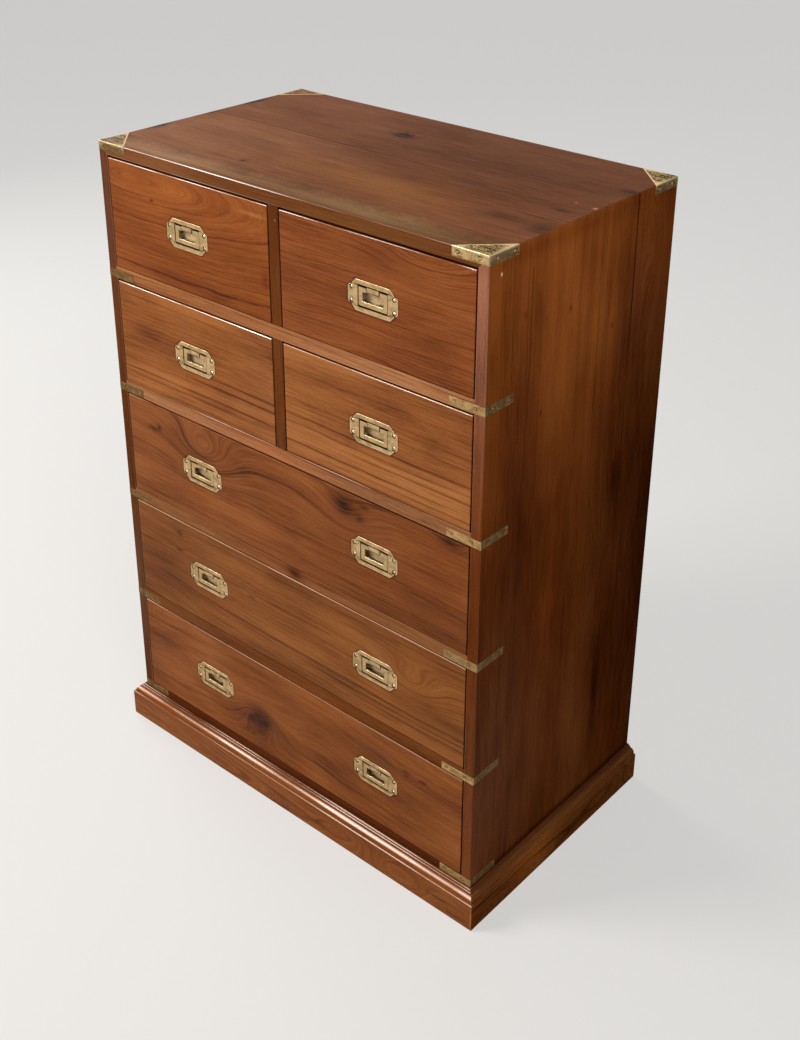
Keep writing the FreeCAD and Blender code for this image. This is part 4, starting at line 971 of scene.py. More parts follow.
def turned(profile, steps=20):
    """A closed shape turned about its axis: (radius, depth) rows from pole to pole."""
    profile = np.array(profile, float)
    angle = np.linspace(0, 2 * math.pi, steps, endpoint=False)
    radius, depth = profile[1:-1, :1], profile[1:-1, 1:]
    rings = placed(Z_RUN, radius * np.cos(angle), radius * np.sin(angle), np.repeat(depth, steps, 1))
    points = np.concatenate([[[0, 0, profile[0, 1]]], rings, [[0, 0, profile[-1, 1]]]])
    last = 1 + (len(radius) - 1) * steps
    faces = (net(len(radius), steps)[:, [1, 2, 3, 0]] + 1).tolist()
    faces += [[0, 1 + (i + 1) % steps, 1 + i] for i in range(steps)]
    faces += [[len(points) - 1, last + i, last + (i + 1) % steps] for i in range(steps)]
    return points, faces


INTO_BACK, INTO_FRONT = [Matrix.Rotation(math.radians(angle), 3, "X") for angle in (-90, 90)]
INTO_LEFT, INTO_RIGHT = [Matrix.Rotation(math.radians(angle), 3, "Y") for angle in (-90, 90)]
DOWNWARDS = Matrix.Rotation(math.radians(180), 3, "X")


def driven(shape, at, heading, spin=0.0):
    """A shape whose depth runs along +Z, turned on its axis, aimed and set in place."""
    turn = np.array(heading @ Matrix.Rotation(spin, 3, "Z"))
    points, faces = shape
    return points @ turn.T + np.array(at), faces


SHANK_RADIUS = 1.5 * MM
countersink_profile = (
    (0, -1 * MM),
    (3.75 * MM, -1 * MM),
    (3.4 * MM, -0.02 * MM),
    (SHANK_RADIUS, 1.9 * MM),
    (SHANK_RADIUS, 4 * MM),
    (0, 4 * MM),
)
COUNTERSINK = turned(countersink_profile, 28)


def brass(
    name, light, dark, roughness, tarnish=0.5, streaky=0.0, metal=1.0, gloss=0.3, dulled=(), rubbed_and_lit=0.6
):
    """Old brass, stained and scratched: pale on its edges for wear and a painted highlight, dark in its
    hollows for dirt and painted shade.

    dulled lists places that have lost their shine: a centre, a reach along each axis, the
    colour there and how much of it covers the metal. The rubbed amount is how pale the edges are painted, for
    wear together with a highlight.
    """
    made, tree, shader = new_finish(name)
    place, (x, y, z) = millimetres(tree)

    def mottle(long, wide, detail):
        """Noise drawn out from left to right."""
        return speckle(x / long, y / wide, z / wide, detail, 0.62)

    cloud = mottle(11, 8, 4.0)
    spots = mottle(1.6, 1.6, 3.0)
    strokes = mottle(22, 3.4, 3.0)
    scratch = mottle(8, 0.4, 2.0)
    stain = cloud * (0.65 * (1 - streaky)) + strokes * (0.65 * streaky) + spots * 0.35
    arris = put(tree, "Attribute", output="Fac", attribute_name="arris")
    hollow = put(tree, "Attribute", output="Fac", attribute_name="hollow")
    amount = fade(stain, 0.43, 0.57, 0.0, tarnish) * (1.0 - arris * 0.8)
    colour = blend(amount, light, dark)
    # Edges take a pale colour: wear together with a painted highlight.
    colour = blend(arris * rubbed_and_lit, colour, (0.95, 0.74, 0.46))
    # Hollows take a dark colour: dirt together with painted shade.
    cover = (strokes + spots - 1.0) * (10.0 - hollow * 7.6)
    grime_and_shade = (hollow * (cover + (hollow * 0.6 + 0.6))).at_most(1.0).at_least(0.0)
    colour = blend(grime_and_shade, colour, (0.038, 0.026, 0.010))
    metallic = metal - grime_and_shade * (0.9 * metal)
    for centre, reach, shade, share in dulled:
        off = put(tree, "VectorMath", {0: place, 1: centre}, operation="SUBTRACT")
        off = put(tree, "VectorMath", {0: off, 1: reach}, operation="DIVIDE")
        off = put(tree, "VectorMath", {0: off}, output="Value", operation="LENGTH")
        dull = fade(off, 0.6, 1.0, share, 0.0) * (1.0 - arris * 0.85) * (amount * 0.4 + 0.75)
        colour = blend(dull.at_most(1.0), colour, shade)
        metallic = metallic * (1.0 - dull.at_most(0.9))
    rough = amount * 0.25 + roughness + (scratch - 0.5) * 0.3 - arris * (rubbed_and_lit / 3)
    relief = scratch * 0.4 + spots * 0.6
    look = {
        "Base Color": colour,
        "Roughness": rough + grime_and_shade * 0.4,
        "Metallic": metallic,
        "Specular IOR Level": gloss,
        "Specular Tint": (1.0, 0.85, 0.60, 1),
        "Normal": put(tree, "Bump", {"Height": relief, "Strength": 0.4, "Distance": 0.0002}),
    }
    feed(shader, look)
    return made


def near_screws(spots, screws):
    """1 at the points that lie in the countersink of a screw."""
    marks = np.zeros(len(spots))
    for at, heading in screws:
        axis = np.array(heading @ Vector((0, 0, 1)))
        offset = spots - np.array(at)
        depth = offset @ axis
        aside = np.linalg.norm(offset - depth[:, None] * axis, axis=1)
        marks[(aside < SUNK_REACH) & (depth > SUNK_FROM) & (depth < SUNK_TO)] = 1
    return marks


def bent_strap(hand, end, span, eases):
    """An L of sheet brass round an upright corner of the carcase.

    hand is -1 on the left and 1 on the right, end -1 at the front and 1 at the back.
    """
    outer_y, outer_x = FACES[end] + end * BRASS_PROUD, hand * OUTER_X
    leg_end_x, leg_end_y = hand * (HALF_WIDTH - STRAP_LEG), FACES[end] - end * STRAP_LEG
    inner_x, inner_y = hand * (OUTER_X - BRASS_THICKNESS), outer_y - end * BRASS_THICKNESS
    bend = ((leg_end_x, outer_y), (outer_x, outer_y), (outer_x, leg_end_y))
    inner = np.array(((inner_x, leg_end_y), (inner_x, inner_y), (leg_end_x, inner_y)))
    outline = np.concatenate([rounded_path(bend, (BEND_RADIUS,), 5), inner])
    if hand * end > 0:
        outline = outline[::-1]
    return slab([outline], [wall_steps(span, eases)], Z_RUN)


def leg_screws(hand, end, height):
    """Where the screws of both legs of an L go in, and which way each points."""
    into_end = INTO_BACK if end < 0 else INTO_FRONT
    into_side = INTO_LEFT if hand > 0 else INTO_RIGHT
    screws = []
    for reach in SCREW_REACHES:
        screws.append(((hand * (HALF_WIDTH - reach), FACES[end] + end * BRASS_PROUD, height), into_end))
        screws.append(((hand * OUTER_X, FACES[end] - end * reach, height), into_side))
    return screws


strap_finish = brass(
    "strap_brass", (0.57, 0.355, 0.155), (0.26, 0.155, 0.058), roughness=0.42, tarnish=0.95, streaky=0.3,
    gloss=0.08,
    dulled=(
        ((-350, -212, 500), (60, 20, 3000), (0.160, 0.080, 0.022), 0.95),
        ((381, -180, 500), (3, 60, 3000), (0.140, 0.082, 0.022), 0.9),
        ((350, -212, 473), (60, 20, 40), (0.28, 0.165, 0.07), 0.6),
    ),
)
rail_rows = list(RAIL_COLOURS)
strap_heights = []
for node in rail_rows:
    low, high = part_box(node)
    drop = 0 if node == "bottom_rail" else STRAP_DROP
    strap_heights.append((low.z + high.z) / 2 - drop)

carcase_screws, strap_parts = [], []
for height in strap_heights:
    for hand in (-1, 1):
        span = (height - STRAP_WIDTH / 2, height + STRAP_WIDTH / 2)
        strap_parts.append(bent_strap(hand, -1, span, (STRAP_EASE, STRAP_EASE)))
        carcase_screws += leg_screws(hand, -1, height)
strap_holes = [driven(COUNTERSINK, at, heading) for at, heading in carcase_screws]
straps = new_piece("straps", *together(strap_parts), strap_finish)
cut(straps, new_piece("strap_holes", *together(strap_holes), None))
spots = spots_of(straps)
# The bend is painted pale as a highlight together with wear; the countersinks and the strap's upper and lower
# edges are painted dark as shade.
bend = (np.abs(spots[:, 0]) > OUTER_X - 0.9 * MM) & (spots[:, 1] < OUTER_Y + 0.9 * MM)
from_middle = np.min(np.abs(spots[:, 2][:, None] - np.array(strap_heights)[None]), 1)
edge = np.abs(from_middle - STRAP_WIDTH / 2)
rim = (edge > IN_PLANE) & (edge < 0.3 * MM)
mark(straps, arris=0.6 * bend, hollow=np.maximum(near_screws(spots, carcase_screws), rim))
fit(straps, "carcase", "brass_fittings", "corner_straps")

# ------------------------------------------------------------------ corner brackets
# Cast brass corners at the four top corners: a triangular plate on the top and a leg down
# each face. They take the knocks, so their edges are worn bright and their faces are pitted; the edges are
# painted paler still as a highlight, most on the left.
BRACKET_DEPTH = 14 * MM
PLATE_INSET = 0.4 * MM
BRACKET_TOP = CARCASE_TOP + BRASS_PROUD
bracket_finish = brass(
    "bracket_brass", (0.66, 0.44, 0.205), (0.15, 0.105, 0.038), roughness=0.38, tarnish=0.95, streaky=0.55,
    gloss=0.1,
    dulled=(
        ((-350, -212, 1083), (60, 12, 16), (0.125, 0.068, 0.020), 0.98),
        ((381, -180, 1083), (3, 60, 16), (0.145, 0.090, 0.028), 0.85),
        ((381, 200, 1083), (3, 50, 16), (0.130, 0.070, 0.018), 0.95),
        ((-372, 220, 1090), (75, 75, 6), (0.215, 0.080, 0.028), 1.0),
        ((-372, -204, 1091), (75, 75, 4), (0.150, 0.090, 0.040), 0.75),
    ),
)
bracket_parts, bracket_screws = [], []
for hand in (-1, 1):
    for end in (-1, 1):
        face = FACES[end]
        outer_y = face + end * BRASS_PROUD
        span = (CARCASE_TOP - BRACKET_DEPTH, BRACKET_TOP - 0.05 * MM)
        bracket_parts.append(bent_strap(hand, end, span, (STRAP_EASE, 0.8 * MM)))
        plate = np.array(
            (
                (hand * (HALF_WIDTH - STRAP_LEG), outer_y - end * PLATE_INSET),
                (hand * (OUTER_X - 1 * MM), outer_y - end * PLATE_INSET),
                (hand * (OUTER_X - PLATE_INSET), outer_y - end * 1 * MM),
                (hand * (OUTER_X - PLATE_INSET), face - end * STRAP_LEG),
            )
        )
        if hand * end > 0:
            plate = plate[::-1]
        steps, insets = wall_steps((BRACKET_TOP - BRASS_THICKNESS, BRACKET_TOP), (0, 0.5 * MM))
        walls = (np.append(steps, steps[-1]), np.append(insets, 0.95 * MM))
        bracket_parts.append(slab([plate], [walls], Z_RUN))
        bracket_screws += leg_screws(hand, end, CARCASE_TOP - BRACKET_DEPTH / 2)
        for across, back in ((14 * MM, 36 * MM), (36 * MM, 14 * MM)):
            at = (hand * (HALF_WIDTH - across), face - end * back, BRACKET_TOP)
            bracket_screws.append((at, DOWNWARDS))
bracket_holes = [driven(COUNTERSINK, at, heading) for at, heading in bracket_screws]
brackets = new_piece("brackets", *together(bracket_parts), bracket_finish)
cut(brackets, new_piece("bracket_holes", *together(bracket_holes), None))
spots = spots_of(brackets)
height = spots[:, 2]
from_side = OUTER_X - np.abs(spots[:, 0])
from_end = np.minimum(np.abs(spots[:, 1] - OUTER_Y), np.abs(spots[:, 1] - (BACK + BRASS_PROUD)))
nearest, second, _ = np.sort(np.stack([from_side, from_end, BRACKET_TOP - height]), 0)
edge = (nearest < 0.7 * MM) & (second > IN_PLANE) & (second < 0.95 * MM)
# The top face takes the dark colour in streaks; the countersinks are painted dark as shade.
upper = np.where(height > BRACKET_TOP - 0.03 * MM, 0.62, 0.0)
sunk = near_screws(spots, bracket_screws)
to_slant = STRAP_LEG + BRASS_PROUD - from_side - from_end
slanting = (height > BRACKET_TOP - 0.6 * MM) & (to_slant < 1 * MM) & (sunk == 0)
low_edge = (height < CARCASE_TOP - 3 * MM) & (nearest < 0.45 * MM)
# Edges are painted pale: wear together with a highlight, twice as strong on the left brackets.
knocked_and_lit = np.where(spots[:, 0] < 0, 1.0, 0.5)
shiny = np.maximum(edge * np.where(low_edge, 0.3, knocked_and_lit), 0.9 * slanting)
mark(brackets, arris=shiny, hollow=np.maximum(sunk, upper) * (1 - np.maximum(edge, slanting)))
carcase_screws += bracket_screws
fit(brackets, "carcase", "brass_fittings", "corner_brackets")

# ------------------------------------------------------------------ wood screws
# Slotted countersunk brass screws, driven by hand, so that no two slots line up. Turned
# on a lathe with a slightly domed head and a slot milled across it.
carcase_screw_finish = brass(
    "carcase_screw_brass", (0.85, 0.66, 0.40), (0.40, 0.28, 0.13), roughness=0.24,
    dulled=(
        ((0, -200, 470), (700, 140, 620), (0.27, 0.17, 0.07), 0.85),
        ((-350, -212, 500), (60, 20, 3000), (0.16, 0.085, 0.03), 0.9),
        ((381, -180, 300), (6, 60, 760), (0.12, 0.075, 0.025), 0.95),
    ),
)
screw_finish = brass("screw_brass", (0.95, 0.74, 0.46), (0.50, 0.36, 0.18), roughness=0.16)
HEAD_RADIUS, SHANK_HALF, SCREW_LENGTH = 2.7 * MM, 1.4 * MM, 5 * MM
SLOT_HALF, SLOT_REACH, SLOT_DEPTH = 0.4 * MM, 4 * MM, 0.75 * MM
screw_profile = (
    (0, -0.12 * MM),
    (1.2 * MM, -0.04 * MM),
    (2.1 * MM, 0.16 * MM),
    (2.5 * MM, 0.32 * MM),
    (HEAD_RADIUS, 0.60 * MM),
    (SHANK_HALF, 1.85 * MM),
    (SHANK_HALF, SCREW_LENGTH),
    (0, SCREW_LENGTH),
)
screw_master = new_piece("screw_master", *turned(screw_profile, 22), None)
slot_outline = np.array(SQUARE) * (SLOT_HALF, SLOT_REACH)
slot_shape = slab([slot_outline], [wall_steps((-1 * MM, SLOT_DEPTH), (0, 0))], Z_RUN)
cut(screw_master, new_piece("slot_cutter", *slot_shape, None))
slotted = spots_of(screw_master)
SCREW = (slotted, [list(face.vertices) for face in screw_master.data.polygons])
bpy.data.objects.remove(screw_master)
from_axis = np.linalg.norm(slotted[:, :2], axis=1)
# Painted shade in the slot, on the head's outer rim and below it.
SCREW_SHADE = np.where((slotted[:, 2] > 0.25 * MM) | (from_axis > 2 * MM), 1.0, 0.0)
raised = slotted.copy()
doming = np.maximum(0, 1 - (from_axis / HEAD_RADIUS) ** 2) * (slotted[:, 2] < 0.7 * MM)
raised[:, 2] -= 0.85 * MM * doming
RAISED_SCREW = (raised, SCREW[1])
# Painted shade in the slot, at the head's edge and below it.
RAISED_SHADE = np.where(slotted[:, 2] > 0.5 * MM, 1.0, 0.0)
draw = np.random.default_rng(11)

BACK_BOARDS, BOARD_MARGIN = 5, 20 * MM
FOOT_SCREW_RISE, RAIL_SCREW_DROP, BACK_SCREW_DEPTH = 4.5 * MM, 9 * MM, 0.05 * MM
RUNNER_REACH, GUIDE_REACH = INNER_HALF - 15 * MM, 17.5 * MM
back_low, back_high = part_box("back_boards")
board_pitch = (back_high.x - back_low.x) / BACK_BOARDS
back_screws = []
for index in range(BACK_BOARDS):
    left_edge, right_edge = [back_low.x + step * board_pitch for step in (index, index + 1)]
    for x in (left_edge + BOARD_MARGIN, right_edge - BOARD_MARGIN):
        back_screws.append((x, CARCASE_FOOT + FOOT_SCREW_RISE))
for rails, reach in ((rail_rows[:4], RUNNER_REACH), (rail_rows[:2], GUIDE_REACH)):
    for node in rails:
        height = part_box(node)[1].z - RAIL_SCREW_DROP
        back_screws += [(hand * reach, height) for hand in (-1, 1)]
carcase_screws += [((x, BACK - BACK_SCREW_DEPTH, z), INTO_FRONT) for x, z in back_screws]
screws = new_piece(
    "screws",
    *together([driven(SCREW, at, heading, draw.uniform(0, math.pi)) for at, heading in carcase_screws]),
    carcase_screw_finish,
    hollow=np.tile(SCREW_SHADE, len(carcase_screws)),
)
fit(screws, "carcase", "brass_screws", "carcase_screws")

# ------------------------------------------------------------------ drawer fronts
# Teak boards with eased arrises, each from a different part of the tree: some straight
# in the grain, some with swirls and knots. The pulls are let in and a pocket is cut
# behind each for the finger pan.
PULL_X = 186 * MM
PLATE_HALF, PLATE_RISE, BLOCK_HALF = 45 * MM, 23 * MM, 31 * MM
EAR_HALF, EAR_RISE, NOTCH_RISE = 38 * MM, 13.5 * MM, 15.5 * MM
PLATE_THICKNESS, PLATE_PROUD = 2 * MM, 0.1 * MM
ROW_PULLS = {1: (-1,), 2: (1,), 3: (-1,), 4: (1,), 5: (-1, 1), 6: (-1, 1), 7: (-1, 1)}


def pulls_of(number):
    """The middle of each of a drawer's pulls, on the plane of its front."""
    low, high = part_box(f"drawer_{number}_front")
    return [np.array((hand * PULL_X, FRONT, (low.z + high.z) / 2)) for hand in ROW_PULLS[number]]


def soft_loop(corners, radii, steps=4):
    """A closed outline with each corner turned by an arc of its own radius."""
    corners = np.array(corners, float)
    ring = np.concatenate([corners[-1:], corners, corners[:1]])
    return rounded_path(ring, radii, steps)[1:-1]


plate_quarter = np.array(
    ((PLATE_HALF, EAR_RISE), (EAR_HALF, EAR_RISE), (EAR_HALF, NOTCH_RISE), (BLOCK_HALF, PLATE_RISE))
)
plate_right = np.concatenate([plate_quarter[:1] * (1, -1), plate_quarter])
plate_left = np.concatenate([plate_quarter[::-1] * (-1, 1), plate_quarter * (-1, -1)])
PLATE_CORNERS = np.concatenate([plate_right, plate_left, plate_quarter[:0:-1] * (1, -1)])
PLATE_RADII = [r * MM for r in (4.5, 4.5, 0.8, 0.8, 3.5, 3.5, 0.8, 0.8) * 2]
PLATE_LOOP = soft_loop(PLATE_CORNERS, PLATE_RADII, 3)

FRONT_FIGURES = {
    1: dict(
        base=(0.275, 0.070, 0.0125), pith=1046, rise=51, taper=0.17, spacing=9, wander=6,
        rings=0.5, streaks=0.42, clouds=0.9, fibres=1.0, shine=2.0, lustre=2.6,
        stains=(
            (-40, 1047, 26, 3, (1.5, 2.0, 3.0), 0.9),
            (-200, 905, 110, 16, (0.75, 0.7, 0.65), 0.8),
            (-190, 1042, 60, 12, (1.15, 1.15, 1.1), 0.9),
            (-263, 1019, 4, 3, (0.4, 0.35, 0.3), 1.0),
            (-20, 955, 8, 16, (0.7, 0.55, 0.45), 0.9),
        ),
    ),
    2: dict(
        base=(0.260, 0.070, 0.0165), pith=700, rise=30, spacing=5, wander=20,
        rings=0.45, streaks=0.35, clouds=0.8, fibres=1.1, shine=1.0, lustre=2.1,
        swirls=((285, 1050, 90, 34, 22),),
        stains=((60, 1050, 60, 20, (0.85, 0.8, 0.75), 0.8), (60, 915, 50, 18, (0.8, 0.75, 0.7), 0.8)),
    ),
    3: dict(
        base=(0.328, 0.101, 0.0225), pith=500, rise=30, spacing=8, wander=5,
        rings=0.35, streaks=0.38, clouds=1.2, fibres=0.95, shine=2.5, lustre=2.4,
        stains=(
            (-60, 830, 160, 16, (0.78, 0.73, 0.68), 0.9),
            (-180, 715, 200, 30, (1.2, 1.3, 1.45), 0.8),
            (-330, 790, 60, 40, (0.88, 0.82, 0.76), 0.9),
            (-70, 770, 60, 20, (0.82, 0.76, 0.7), 0.9),
            (-30, 780, 70, 120, (1.0, 1.08, 1.35), 0.9),
        ),
        bands=(
            (259, 2.2, -60, 130, 0.5), (245, 1.8, -70, 120, 0.45), (223, 2.0, -160, 200, 0.4),
            (213, 3, -210, 150, 0.35), (196, 2, -200, 180, 0.3),
        ),
    ),
    4: dict(
        base=(0.362, 0.119, 0.0305), pith=480, rise=30, spacing=8, wander=5,
        rings=0.35, streaks=0.35, clouds=1.0, fibres=1.0, shine=1.5, lustre=1.6,
        stains=((200, 835, 200, 22, (0.76, 0.70, 0.66), 0.9), (200, 720, 200, 40, (1.12, 1.2, 1.3), 0.8)),
        bands=(
            (278, 2.0, 190, 200, 0.4), (265, 1.8, 190, 200, 0.4), (252, 2.0, 260, 120, 0.45),
            (234, 1.8, 150, 200, 0.5), (224, 1.6, 250, 150, 0.35), (212, 2, 200, 200, 0.4),
        ),
    ),
    5: dict(
        base=(0.256, 0.073, 0.016), pith=330, rise=50, spacing=9, wander=5,
        rings=0.44, streaks=0.45, clouds=0.9, fibres=0.95, shine=0.3,
        swirls=((-180, 619, 72, 42, 64), (125, 622, 62, 38, 30)),
        knots=(
            (128, 640, 31, 27, 0, 0.6, 0.95, 0.0),
            (158, 630, 20, 16, 0, 0.55, 0.6, 0.0),
            (167, 652, 16, 7, 0, 0.6, 0.6, 0.0),
            (325, 660, 30, 12, 8, 0.55, 0.75, 0.0),
            (-300, 620, 22, 7, 5, 0.6, 0.75, 0.0),
            (-286, 626, 7, 9, 2, 0.7, 0.7, 0.0),
        ),
        stains=(
            (240, 500, 240, 22, (0.62, 0.55, 0.5), 0.9),
            (-110, 540, 120, 30, (1.12, 1.15, 1.2), 0.9),
            (320, 600, 60, 80, (0.85, 0.75, 0.65), 0.8),
            (124, 638, 52, 32, (0.68, 0.56, 0.50), 0.9),
            (60, 655, 34, 8, (1.35, 1.5, 1.7), 0.9),
            (-178, 640, 40, 22, (0.9, 0.86, 0.84), 0.9),
        ),
        bands=(
            (302, 3.4, -60, 230, 0.55), (309, 2.0, -40, 170, 0.35), (293, 2.2, -170, 80, 0.35),
            (345, 3.4, -215, 50, 0.5), (332, 2.4, -215, 40, 0.4),
        ),
    ),
    6: dict(
        base=(0.275, 0.086, 0.018), pith=60, rise=60, spacing=9, wander=5,
        rings=0.35, streaks=0.38, clouds=0.9, fibres=0.95, shine=0.3,
        swirls=((258, 388, 62, 30, 40), (-330, 300, 120, 60, -22)),
        knots=(
            (-254, 437, 12, 9, 8, 0.6, 0.5, 0.0),
            (-256, 405, 11, 7, 7, 0.6, 0.5, 0.0),
            (-82, 386, 16, 4, 5, 0.6, 0.6, 0.0),
        ),
        stains=((-310, 360, 80, 90, (0.76, 0.70, 0.73), 0.9), (150, 350, 250, 60, (1.12, 1.16, 1.2), 0.8)),
        bands=(
            (276, 3.2, 160, 330, 0.42), (266, 2.2, 230, 180, 0.35), (257, 2.0, 260, 120, 0.3),
            (226, 3.0, 190, 180, 0.45), (218, 2.2, 220, 150, 0.4), (352, 1.4, 250, 150, 0.35),
        ),
    ),
    7: dict(
        base=(0.272, 0.077, 0.015), pith=300, rise=40, spacing=12, wander=22,
        rings=0.25, streaks=0.36, clouds=1.4, fibres=0.95, shine=0.3,
        swirls=((60, 185, 100, 55, 34), (-77, 140, 46, 34, 50)),
        knots=(
            (-72, 147, 37, 25, 0, 0.6, 0.9, 0.5),
            (-62, 140, 12, 9, 0, 0.6, 0.7, 0.0),
            (-96, 134, 14, 12, 0, 0.6, 0.6, 0.0),
            (250, 212, 12, 9, 8, 0.6, 0.6, 0.4),
            (284, 212, 13, 8, 8, 0.6, 0.6, 0.0),
        ),
        stains=(
            (-77, 141, 38, 30, (0.46, 0.38, 0.34), 0.95),
            (-82, 112, 24, 10, (0.75, 0.65, 0.6), 0.8),
            (0, 215, 60, 30, (0.8, 0.75, 0.7), 0.8),
            (64, 230, 50, 20, (1.2, 1.25, 1.25), 0.8),
            (110, 150, 40, 30, (0.80, 0.74, 0.68), 0.8),
            (0, 96, 300, 16, (0.9, 0.85, 0.8), 0.8),
        ),
    ),
}
FRONT_RADII = [(low * MM, high * MM) for low, high in ((0.3, 0.5), (1.2, 2.0), (0.6, 1.0), (0.3, 0.5))]
# Where along the arrises of drawers 2 and 5 the pale colour lies: wear together with a painted highlight.
RUBBED_AND_LIT_EDGES = {2: ((0.02, 0.18, 0.33, 0.352), (1, 0.6, 0.35, 0.9)), 5: ((-0.33, -0.27), (1, 0.12))}
GAP_BESIDE = 0.8 * MM
PLATE_SETTING = (45, 23, 54)
POCKET = np.array(SQUARE) * (30 * MM, 18.5 * MM)
POCKET_SPAN = (FRONT + 1 * MM, FRONT + 13 * MM)
RECESS_SPAN = (FRONT - 5 * MM, FRONT + PLATE_THICKNESS + 0.05 * MM)
recess_loop = PLATE_LOOP + 0.25 * MM * outward(PLATE_LOOP)
for number in ROW_PULLS:
    upper_row = number < 5
    node = f"drawer_{number}_front"
    pulls = pulls_of(number)
    # The upper rows' arrises are painted pale: wear together with a highlight.
    front_finish = teak(
        f"front_{number}_teak", "xzy", seed=100.0 + number, face=FRONT / MM,
        worn_and_lit=(0.95, 0.64, 0.48) if upper_row else (0.64, 0.38, 0.25), gap_shade=0.95,
        settings=[(at[0] / MM, at[2] / MM, *PLATE_SETTING) for at in pulls],
        **FRONT_FIGURES[number],
    )
    low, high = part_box(node)
    low.x, high.x = low.x + GAP_BESIDE, high.x - GAP_BESIDE
    high.z = high.z - (1.9 * MM if upper_row else 1.0 * MM)
    points, faces, arris = eased_board(
        box_lines(low, high, X_RUN), (low.x, high.x), X_RUN, ease=0.9 * MM, seed=80 + number,
        radii=FRONT_RADII, wear_and_highlight=(0, 1, 0.15, 0), end_wear_and_highlight=0.25,
    )
    along, kept = RUBBED_AND_LIT_EDGES.get(number, ((0,), (1,)))
    arris = arris * np.interp(points[:, 0], along, kept)
    front = new_piece(f"front_{number}", points, faces, front_finish, arris)
    for at in pulls:
        for loop, span in ((recess_loop, RECESS_SPAN), (POCKET, POCKET_SPAN)):
            recess = slab([loop + at[[0, 2]]], [wall_steps(span, (0, 0))], FACE_PLANE)
            cut(front, new_piece("recess", *recess, None))
    fit(front, f"drawer_{number}", "front_wood", node)

# ------------------------------------------------------------------ pull plates and pans
# Each plate is cast brass with clipped corners and low ears, a tongue that hangs into
# its opening, and four screw holes. Behind the opening sits a pressed, dished pan.
OPENING_HALF, OPENING_RISE = 27 * MM, 15 * MM
TONGUE_HALF, TONGUE_END = 11 * MM, 7 * MM
PULL_SCREWS = [(across * 38.5 * MM, rise * 9.7 * MM) for across in (-1, 1) for rise in (-1, 1)]
OPENING_CORNERS = (
    (OPENING_HALF, -OPENING_RISE),
    (OPENING_HALF, OPENING_RISE),
    (TONGUE_HALF, OPENING_RISE),
    (TONGUE_HALF, TONGUE_END),
    (-TONGUE_HALF, TONGUE_END),
    (-TONGUE_HALF, OPENING_RISE),
    (-OPENING_HALF, OPENING_RISE),
    (-OPENING_HALF, -OPENING_RISE),
)
OPENING_RADII = [r * MM for r in (1.6, 0.6, 0.4, 0.5, 0.5, 0.4, 0.6, 1.6)]
opening_loop = soft_loop(OPENING_CORNERS, OPENING_RADII, 3)[::-1]
SINK_REACH, SINK_HOLE, SINK_DEPTH = 3.7 * MM, 2.75 * MM, 0.75 * MM
round_about = np.linspace(0, 2 * math.pi, 24, endpoint=False)[::-1]
hole_loop = np.stack([np.cos(round_about), np.sin(round_about)], -1) * SINK_HOLE
sink = np.linspace(0, 1, 4)
sink_walls = (
    np.concatenate([SINK_DEPTH * sink ** 1.4, [PLATE_THICKNESS]]),
    np.concatenate([(SINK_REACH - SINK_HOLE) * (1 - sink), [0]]),
)
plate_walls = []
for ease in (0.6 * MM, 0.5 * MM):
    steps, insets = wall_steps((0, PLATE_THICKNESS), (ease, 0))
    plate_walls.append((np.append(0, steps), np.append(ease + 0.9 * MM, insets)))
plate_walls += [sink_walls] * len(PULL_SCREWS)
plate_loops = [PLATE_LOOP, opening_loop] + [hole_loop + spot for spot in PULL_SCREWS]
plate_points, plate_faces = slab(plate_loops, plate_walls, FACE_PLANE)
plate_depth, plate_height = plate_points[:, 1], plate_points[:, 2]
order_made = np.arange(len(plate_depth))
ring_total = len(plate_walls[0][0])
rim_count, opening_count = len(PLATE_LOOP) * ring_total, len(opening_loop) * ring_total
at_rim = order_made < rim_count
past_face = order_made >= len(PLATE_LOOP)
at_wall = (order_made >= rim_count + len(opening_loop)) & (order_made < rim_count + opening_count)
on_lower_lip = at_wall & (plate_height < 0.6 * MM - OPENING_RISE)
# The rim is painted pale as wear together with a highlight, less on its upper half, and so is the opening's
# lower lip; the walls below the face, in the opening and in the countersinks are painted dark as shade.
worn_and_lit_rim = at_rim & past_face & (plate_depth < 0.5 * MM)
plate_arris = np.where(worn_and_lit_rim, 1.0, 0.5 * (on_lower_lip & (plate_depth < 0.2 * MM)))
plate_arris = plate_arris * np.where(at_rim & (plate_height > 0), 0.3, 1.0)
plate_shade = np.where(at_rim, plate_depth > 0.9 * MM, plate_depth > 0.1 * MM)
plate_shade = np.where(on_lower_lip & (plate_depth < 0.3 * MM), 0.0, plate_shade)
PAN_HALF, PAN_RISE, PAN_DEPTH, PAN_SHEET = 28 * MM, 16 * MM, 6.5 * MM, 0.8 * MM
FLOOR_HALF, FLOOR_RISE = 20 * MM, 12.5 * MM


